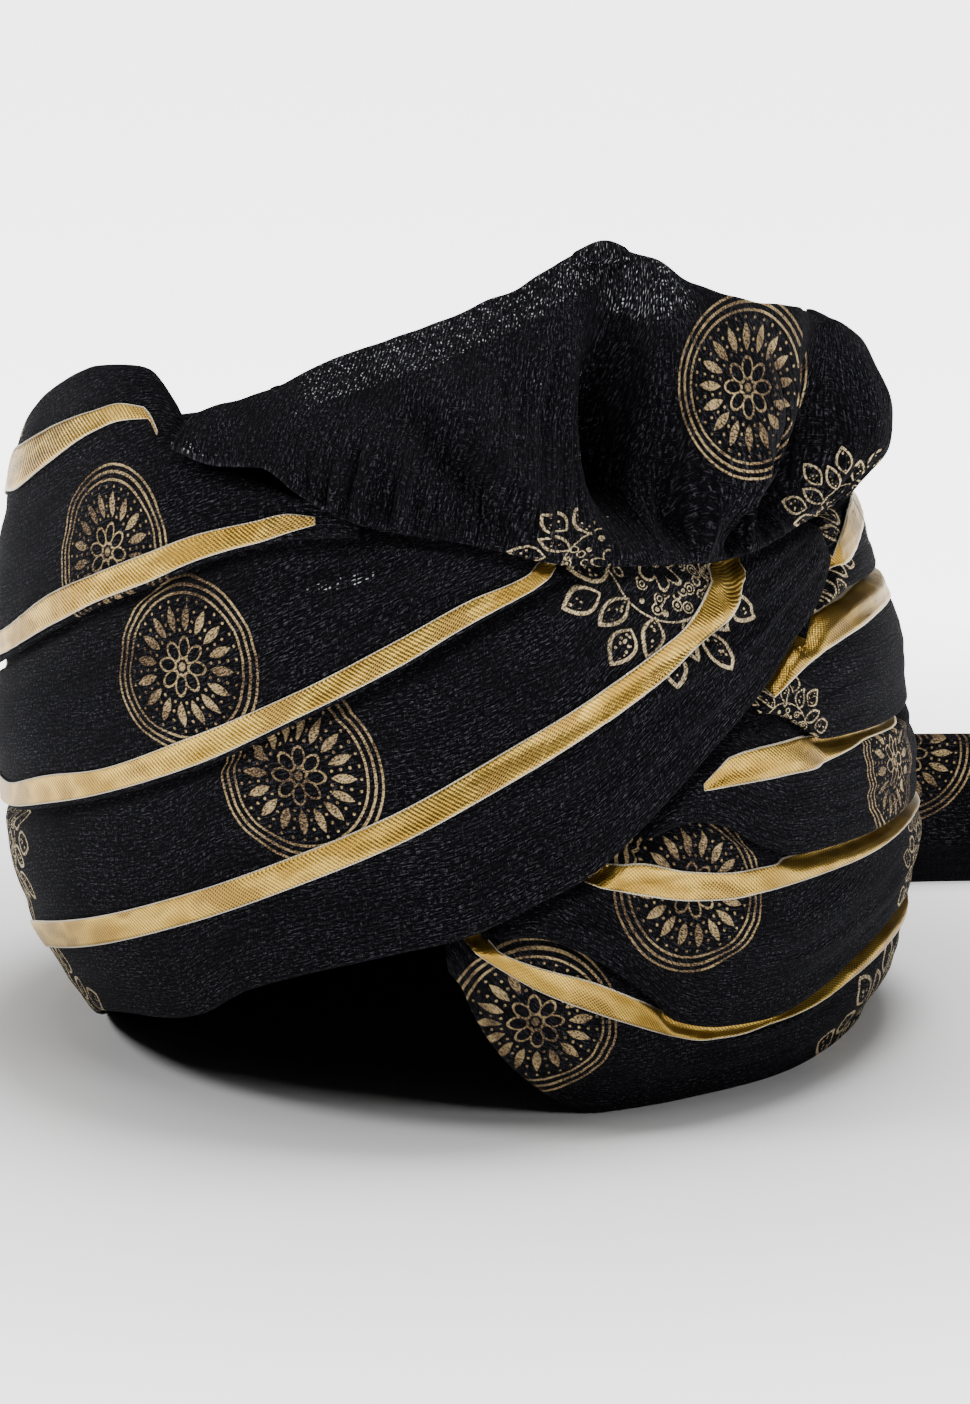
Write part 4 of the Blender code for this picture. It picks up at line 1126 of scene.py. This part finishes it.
def crepe_material():
    """Black crepe crinkled along the band, worn gold prints, and open places in its weave painted as
    backlight.
    """
    material = bpy.data.materials.new("black_crepe")
    n = Nodes(material)
    u, v, place = n.coordinates("weave")
    fibres, crossings = n.grain(place, "fibres"), n.grain(place, "crossings")
    patches = n.rise(n.grain(place, "patches"), "patches")
    drift = n.grain(place, "drift") * CHECK_DRIFT
    checks_u = n.stripes(u + drift, *CHECKS_ALONG)
    checks = n.math("MAXIMUM", checks_u * CHECKS_ALONG_SHARE, n.stripes(v + drift, *CHECKS_ACROSS))
    lit = n.rise(fibres, "fibres") * patches * LIT_BY_FIBRES
    lit = lit + n.rise(crossings, "crossings") * LIT_BY_CROSSINGS + LIT_LEAST
    cloth = n.mix(lit * (1.0 - checks * CHECKS_DARKEN), "crepe_shade", "crepe_lit")

    # Open places of the weave, painted light: pale grey where the bright backdrop would shine through the
    # holes
    backlit_sheer = n.add("Attribute", attribute_name="backlit_sheer", output=2)
    cells = n.stripes(u, *CELLS_ALONG) * n.stripes(v, *CELLS_ACROSS)
    hole = n.grain(place, "holes") - (HOLES_FROM - backlit_sheer * HOLES_BY_BACKLIGHT)
    backlit_holes = n.rise(hole, "holes") * cells * n.rise(backlit_sheer, "backlit_sheer")
    cloth = n.mix(backlit_holes, cloth, "crepe_backlit_open")

    rosette = rosette_mask(n)
    tone = n.grain(place, "tone")
    wear = n.rise(n.grain(place, "wear") - tone * WEAR_BY_TONE, "wear")
    printed = n.total(medallion_mask(n), rosette) * (wear * (1 - PRINT_LEAST) + PRINT_LEAST)
    gold = n.mix(n.rise(tone, "tone"), "print_gold", "print_brown")
    gold = n.mix(rosette * ROSETTE_PALE, gold, "rosette_gold")
    n.set(
        Base_Color=n.mix(printed, cloth, gold),
        Metallic=printed * PRINT_METALLIC,
        Roughness=CREPE_ROUGH - printed * (CREPE_ROUGH - PRINT_ROUGH),
        Specular_IOR_Level=0.045,
        Sheen_Weight=0.005,
        Sheen_Roughness=0.40,
        Sheen_Tint=(0.80, 0.85, 1.0, 1.0),
    )
    parts = {"crossings": crossings, "ribs": n.wave(v, RIB_PITCH), "checks": checks, "print": printed}
    n.bump(sum((part * CREPE_RELIEF[name] for name, part in parts.items()), fibres), *CREPE_BUMP)
    return material


def ribbon_material():
    """Gold ribbon: a fine twill in metal thread between two pale selvages, crumpled and worn in places.
    Painted highlights and painted shade lie on it in patches, and painted shade in the twill's grooves.

    Its "medallion" map holds the place across the ribbon, from -1 to 1.
    """
    material = bpy.data.materials.new("gold_ribbon")
    n = Nodes(material)
    u, v, place = n.coordinates("weave")
    across = n.coordinates("medallion")[1]
    # Patches of painted shade: darker gold, with the crossed twill and deeper grooves showing in them
    shade_patches = n.rise(n.grain(place, "shade_patches"), "shade_patches")
    broad = n.grain(place, "broad")
    crossing = n.wave(u - v * TWILL_LEAN, TWILL_PITCH)
    twill = n.wave(u + v, TWILL_PITCH) + crossing * n.math("MAXIMUM", shade_patches, TWILL_CROSSED)
    # Lighter patches of gold are painted highlights, set by the broad noise that also sets the roughness
    gold = n.mix(n.rise(broad, "broad"), "gold_deep", "gold_painted_highlight")
    gold = n.mix(shade_patches * SHADE_PATCH_SHARE, gold, "gold_painted_shade")
    least, more = GROOVE_SHADE_SHARE
    # Painted shade in the twill's grooves, deeper in the patches of painted shade
    gold = n.mix(n.rise(twill, "groove_shade") * (shade_patches * more + least), gold, "gold_groove_shade")
    worn = n.rise(n.grain(place, "specks"), "specks") * n.rise(n.grain(place, "worn"), "worn")
    gold = n.mix(worn, gold, "gold_worn")
    selvage = n.rise(n.math("ABSOLUTE", across), "selvage")
    pale = n.mix(n.rise(n.wave(u, SELVAGE_PITCH), "threads"), "selvage_shade", "selvage_pale")
    rough, rougher = RIBBON_ROUGH
    twilled, crumpled = RIBBON_RELIEF
    n.set(
        Base_Color=n.mix(selvage, gold, pale),
        Metallic=1.0 - (selvage + worn) * SELVAGE_DULL,
        Roughness=broad * rougher + rough,
    )
    n.bump(twill * twilled + n.grain(place, "crumple") * crumpled, *RIBBON_BUMP)
    return material


def backlit_sheer_patch(points, sideways, height, half_width, half_height, most):
    """How open the weave is at points near a place, as seen from the front: painted backlight."""
    x = (points @ SIDEWAYS - sideways) / half_width
    y = (points[..., 2] - height) / half_height
    return most * smooth(BACKLIT_PATCH_REACH - np.hypot(x, y))


def before(maps, shape):
    """Maps of a wrap's prints, with nothing printed on a tail of that shape before it."""
    away = np.full((*shape, 2), FAR_AWAY)
    return [np.concatenate([away, place]) for place in maps]


def make_wrap(wrap, material):
    """A wrap's piece, with its prints and its open place painted pale as if backlit, and the points it runs
    through.
    """
    points, angles, heights = wrap.grid()
    medallions = [(*place, MEDALLION_RADIUS) for place in MEDALLIONS[wrap.name]]
    maps = {
        "medallion": print_map(medallions, angles, heights),
        "rosette": print_map(ROSETTES[wrap.name], angles, heights),
    }
    if isinstance(wrap, TailedWrap):
        tail, runs, tail_heights = wrap.tail_grid()
        maps = {kind: before(places, runs.shape) for kind, places in maps.items()}
        away = np.full((*angles.shape, 2), FAR_AWAY)
        for run, z in TAIL_MEDALLIONS:
            place = np.stack([runs - run, tail_heights - z], axis=2) / MEDALLION_RADIUS
            maps["medallion"].append(np.concatenate([place, away]))
        points = np.concatenate([tail, points])
    backlit_sheer = None
    # The middle wrap's open place, painted pale as if backlit
    if wrap.name == "middle_wrap":
        angle, height, half_angle, half_height, slope, most = WRAP_BACKLIT
        along = angles - TURN - angle
        off = np.hypot(along / half_angle, (heights - height - slope * along) / half_height)
        backlit_sheer = most * smooth(WRAP_BACKLIT_REACH - off)
    made = make_band(wrap.name.replace("_wrap", "_cloth"), points, maps, material, backlit_sheer=backlit_sheer)
    return made, points


def make_crown(material):
    """The crown's piece, with its prints and its open places painted pale as if backlit, and the points it
    runs through.
    """
    points = crown_grid()
    x, y, z = points @ SIDEWAYS, points @ BACKWARDS, points[..., 2]
    behind = np.arange(points.shape[1]) > HEM_STEPS + CROWN_FRONT_ROWS
    turn_x, turn_y = np.abs(np.gradient(x, axis=0)), np.abs(np.gradient(y, axis=0))
    steep = turn_x < PRINTED_SLOPE * turn_y
    maps = {"medallion": [], "rosette": []}
    for kind, sideways, height, radius, squeeze in CROWN_PRINTS:
        place = np.stack([(x - sideways) / squeeze, z - height], axis=2) / radius
        place[steep] = FAR_AWAY
        place[:, behind] = FAR_AWAY
        if kind == "rosette" and sideways <= CROWN_ROSETTE_ENDS:
            place[x > CROWN_ROSETTE_ENDS] = FAR_AWAY
            place[(x > CROWN_VALLEY_CLEAR[0]) & (z > CROWN_VALLEY_CLEAR[1])] = FAR_AWAY
        maps[kind].append(place)
    # A strip below the crown's ridge and some patches, painted pale as if backlit through the open weave
    ridge = z[:, HEM_STEPS + CROWN_FRONT_ROWS - 2][:, None]
    low, high = BACKLIT_STRIP
    soft_end, soft_edge = BACKLIT_STRIP_SOFT
    strip = smooth((x - low) / soft_end) * smooth((high - x) / soft_end)
    backlit_sheer = BACKLIT_STRIP_OPEN * strip * smooth((z - ridge + BACKLIT_STRIP_DEPTH) / soft_edge)
    for patch in BACKLIT_PATCHES:
        backlit_sheer = np.maximum(backlit_sheer, backlit_sheer_patch(points, *patch))
    backlit_sheer[:, behind] = 0.0
    made = make_band("crown_drape", points, maps, material, closed_rows=False, backlit_sheer=backlit_sheer, turned=True)
    thick = made.modifiers.new("thickness", "SOLIDIFY")
    thick.thickness = CROWN_THICKNESS
    thick.offset = -1.0
    return made, points


def make_ribbon(name, wrap, crumple, table, material):
    """A thin strip on the wrap's face, clear of its edge and of what covers it."""
    start, end = table[0][0], table[-1][0]
    steps = max(round((end - start) / (STATION_STEP / 2)), RIBBON_LEAST_STEPS)
    often, size, fine, fine_often = RIBBON_CRUMPLE
    side = np.linspace(-1, 1, RIBBON_ROWS)
    across = np.stack([np.zeros(2 * RIBBON_ROWS), np.concatenate([side, side[::-1]])], axis=1)
    points = []
    for angle in np.linspace(start, end, steps + 1):
        section = wrap.section(angle)
        high = min(curve(table, angle, 2), section.line + CLEAR)
        if wrap.top_table:
            high = min(high, section.top - section.radius / 2)
        low = min(max(curve(table, angle, 1), section.low + HEM_RADIUS), high - RIBBON_LEAST)
        z = np.linspace(low, high, RIBBON_ROWS)
        finer = fine * noise.noise(Vector((angle * fine_often, 0, 4)))
        rough = np.array([noise.noise(Vector((angle * often, h / size, wrap.seed))) + finer for h in z])
        out = section.outer(z) + RIBBON_GAP + RIBBON_THICKNESS + crumple * (1 + rough) / 2
        back = out[::-1] - RIBBON_THICKNESS
        points.append(wall_points(angle, np.concatenate([z, z[::-1]]), np.concatenate([out, back])))
    maps = {"medallion": [np.tile(across, (len(points), 1, 1))]}
    return make_band(name.replace("ribbon", "gold_band"), np.array(points), maps, material)


def make_core(material):
    """The wound layers inside, with the head opening: a ring of bands that bulge and overlap."""
    points = []
    dip_in, dipped, rising, dip_out = CORE_DIP
    for angle in np.arange(CORE_STATIONS) * TURN / CORE_STATIONS:
        turned = angle - TURN if angle > TURN / 2 else angle
        low = curve(CORE_LOW, turned)
        dip = smooth((turned - dip_in) / (dipped - dip_in))
        dip *= smooth((dip_out - turned) / (dip_out - rising))
        top = CORE_TOP - CORE_TOP_DIP * float(dip)
        heights = np.linspace(low, top, CORE_OUTSIDE_ROWS)
        outside = wall_points(angle, heights, np.full(CORE_OUTSIDE_ROWS, WALL_BASE - CORE_GAP - SWELL))
        share = np.linspace(1, 0, CORE_INSIDE_ROWS)
        z = low + (top - low) * share
        band = np.mod(share * CORE_LAYERS + CORE_LEAN * math.sin(math.radians(angle)), 1.0)
        deep, wide, high = CORE_CRINKLE
        crinkle = np.array([noise.noise(Vector((angle / wide, h / high, 1.0))) for h in z])
        inward = CORE_LAYER_DEPTH * (np.sqrt(1 - (1 - band) ** 2) - 1) + deep * crinkle
        narrow = CORE_NARROWS * smooth(z / CORE_TOP) + inward
        half_width, half_depth = HEAD_HALF_WIDTH - narrow, HEAD_HALF_DEPTH - narrow
        inside = ellipse_points(angle, half_width, half_depth, z, np.zeros(len(z)))
        across = np.linspace(0, 1, CORE_END_ROWS)[1:-1, None]
        count, deep = CORE_RIDGES
        ridges = deep * (np.abs(np.sin(across * math.pi * count)) - 1)
        ledge = outside[-1] + (inside[0] - outside[-1]) * across + ridges * UP
        sole = inside[-1] + (outside[0] - inside[-1]) * across - ridges * UP
        points.append(np.concatenate([outside, ledge, inside, sole]))
    return make_band("wound_core", np.array(points), {}, material, closed_stations=True)


def aim(thing, place, direction):
    """Puts a light or a camera at a place, facing along a direction."""
    thing.location = place
    thing.rotation_euler = direction.to_track_quat("-Z", "Y").to_euler()


def add_area_light(name, power, size, place):
    data = bpy.data.lights.new(name, "AREA")
    data.energy = power
    data.shape = "DISK"
    data.size = size
    aim(add_object(name, data), place, Vector((0, 0, AIM_HEIGHT)) - Vector(place))


def make_stage():
    """A pale floor painted with a glow that grows with distance, soft studio light and the camera."""
    material = bpy.data.materials.new("floor")
    n = Nodes(material)
    place = n.add("TexCoord", output=3)
    uneven = n.grain(place, "floor")
    # Painted light: the floor glows more further from the middle, and not at all under the turban
    glow = n.add("MapRange", n.add("VectorMath", place, operation="LENGTH", output=1), *FLOOR_GLOW)
    rough, rougher = FLOOR_ROUGH
    n.set(
        Base_Color=n.mix(uneven, "floor_shade", "floor_pale"),
        Roughness=uneven * rougher + rough,
        Specular_IOR_Level=0.25,
        Emission_Color=n.add("CombineColor", glow, glow, glow),
        Emission_Strength=1.0,
    )
    mesh = bpy.data.meshes.new("floor")
    corners = [(x * FLOOR_REACH, y * FLOOR_REACH, 0) for x, y in ((-1, -1), (1, -1), (1, 1), (-1, 1))]
    mesh.from_pydata(corners, [], [(0, 1, 2, 3)])
    mesh.materials.append(material)
    floor = add_object("floor", mesh)

    world = bpy.data.worlds.new("studio")
    n = Nodes(world, "Background")
    towards = n.add("VectorMath", n.add("TexCoord"), SKY_MIDDLE, operation="DOT_PRODUCT", output=1)
    n.set(Strength=n.add("MapRange", towards, *SKY, interpolation_type="SMOOTHSTEP"))
    bpy.context.scene.world = world
    for light in LIGHTS:
        add_area_light(*light)

    a, e = math.radians(AZIMUTH), math.radians(ELEVATION)
    back = Vector((math.sin(a) * math.cos(e), -math.cos(a) * math.cos(e), math.sin(e)))
    camera = bpy.data.cameras.new("camera")
    camera.sensor_width = SENSOR
    camera.lens = LENS
    camera.clip_start, camera.clip_end = CLIP
    seen = add_object("camera", camera)
    aim(seen, Vector(SIDEWAYS) * AIM_SIDEWAYS + Vector((0, 0, AIM_HEIGHT)) + back * DISTANCE, -back)
    bpy.context.scene.camera = seen


def place_piece(piece, node):
    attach(piece, "root")
    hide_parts(node)


def main():
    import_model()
    make_stage()
    crepe, gold = crepe_material(), ribbon_material()
    wraps = make_wraps()

    core = make_core(crepe)
    place_piece(core, "inner_wraps")

    ribbons = {name: [] for name in wraps}
    for name, under, crumple, table in RIBBONS:
        ribbon = make_ribbon(name, wraps[under], crumple, table, gold)
        place_piece(ribbon, name)
        ribbons[under].append(ribbon)

    for name, wrap in wraps.items():
        piece, points = make_wrap(wrap, crepe)
        place_piece(piece, name)

    crown, points = make_crown(crepe)
    place_piece(crown, "crown_cloth")


main()
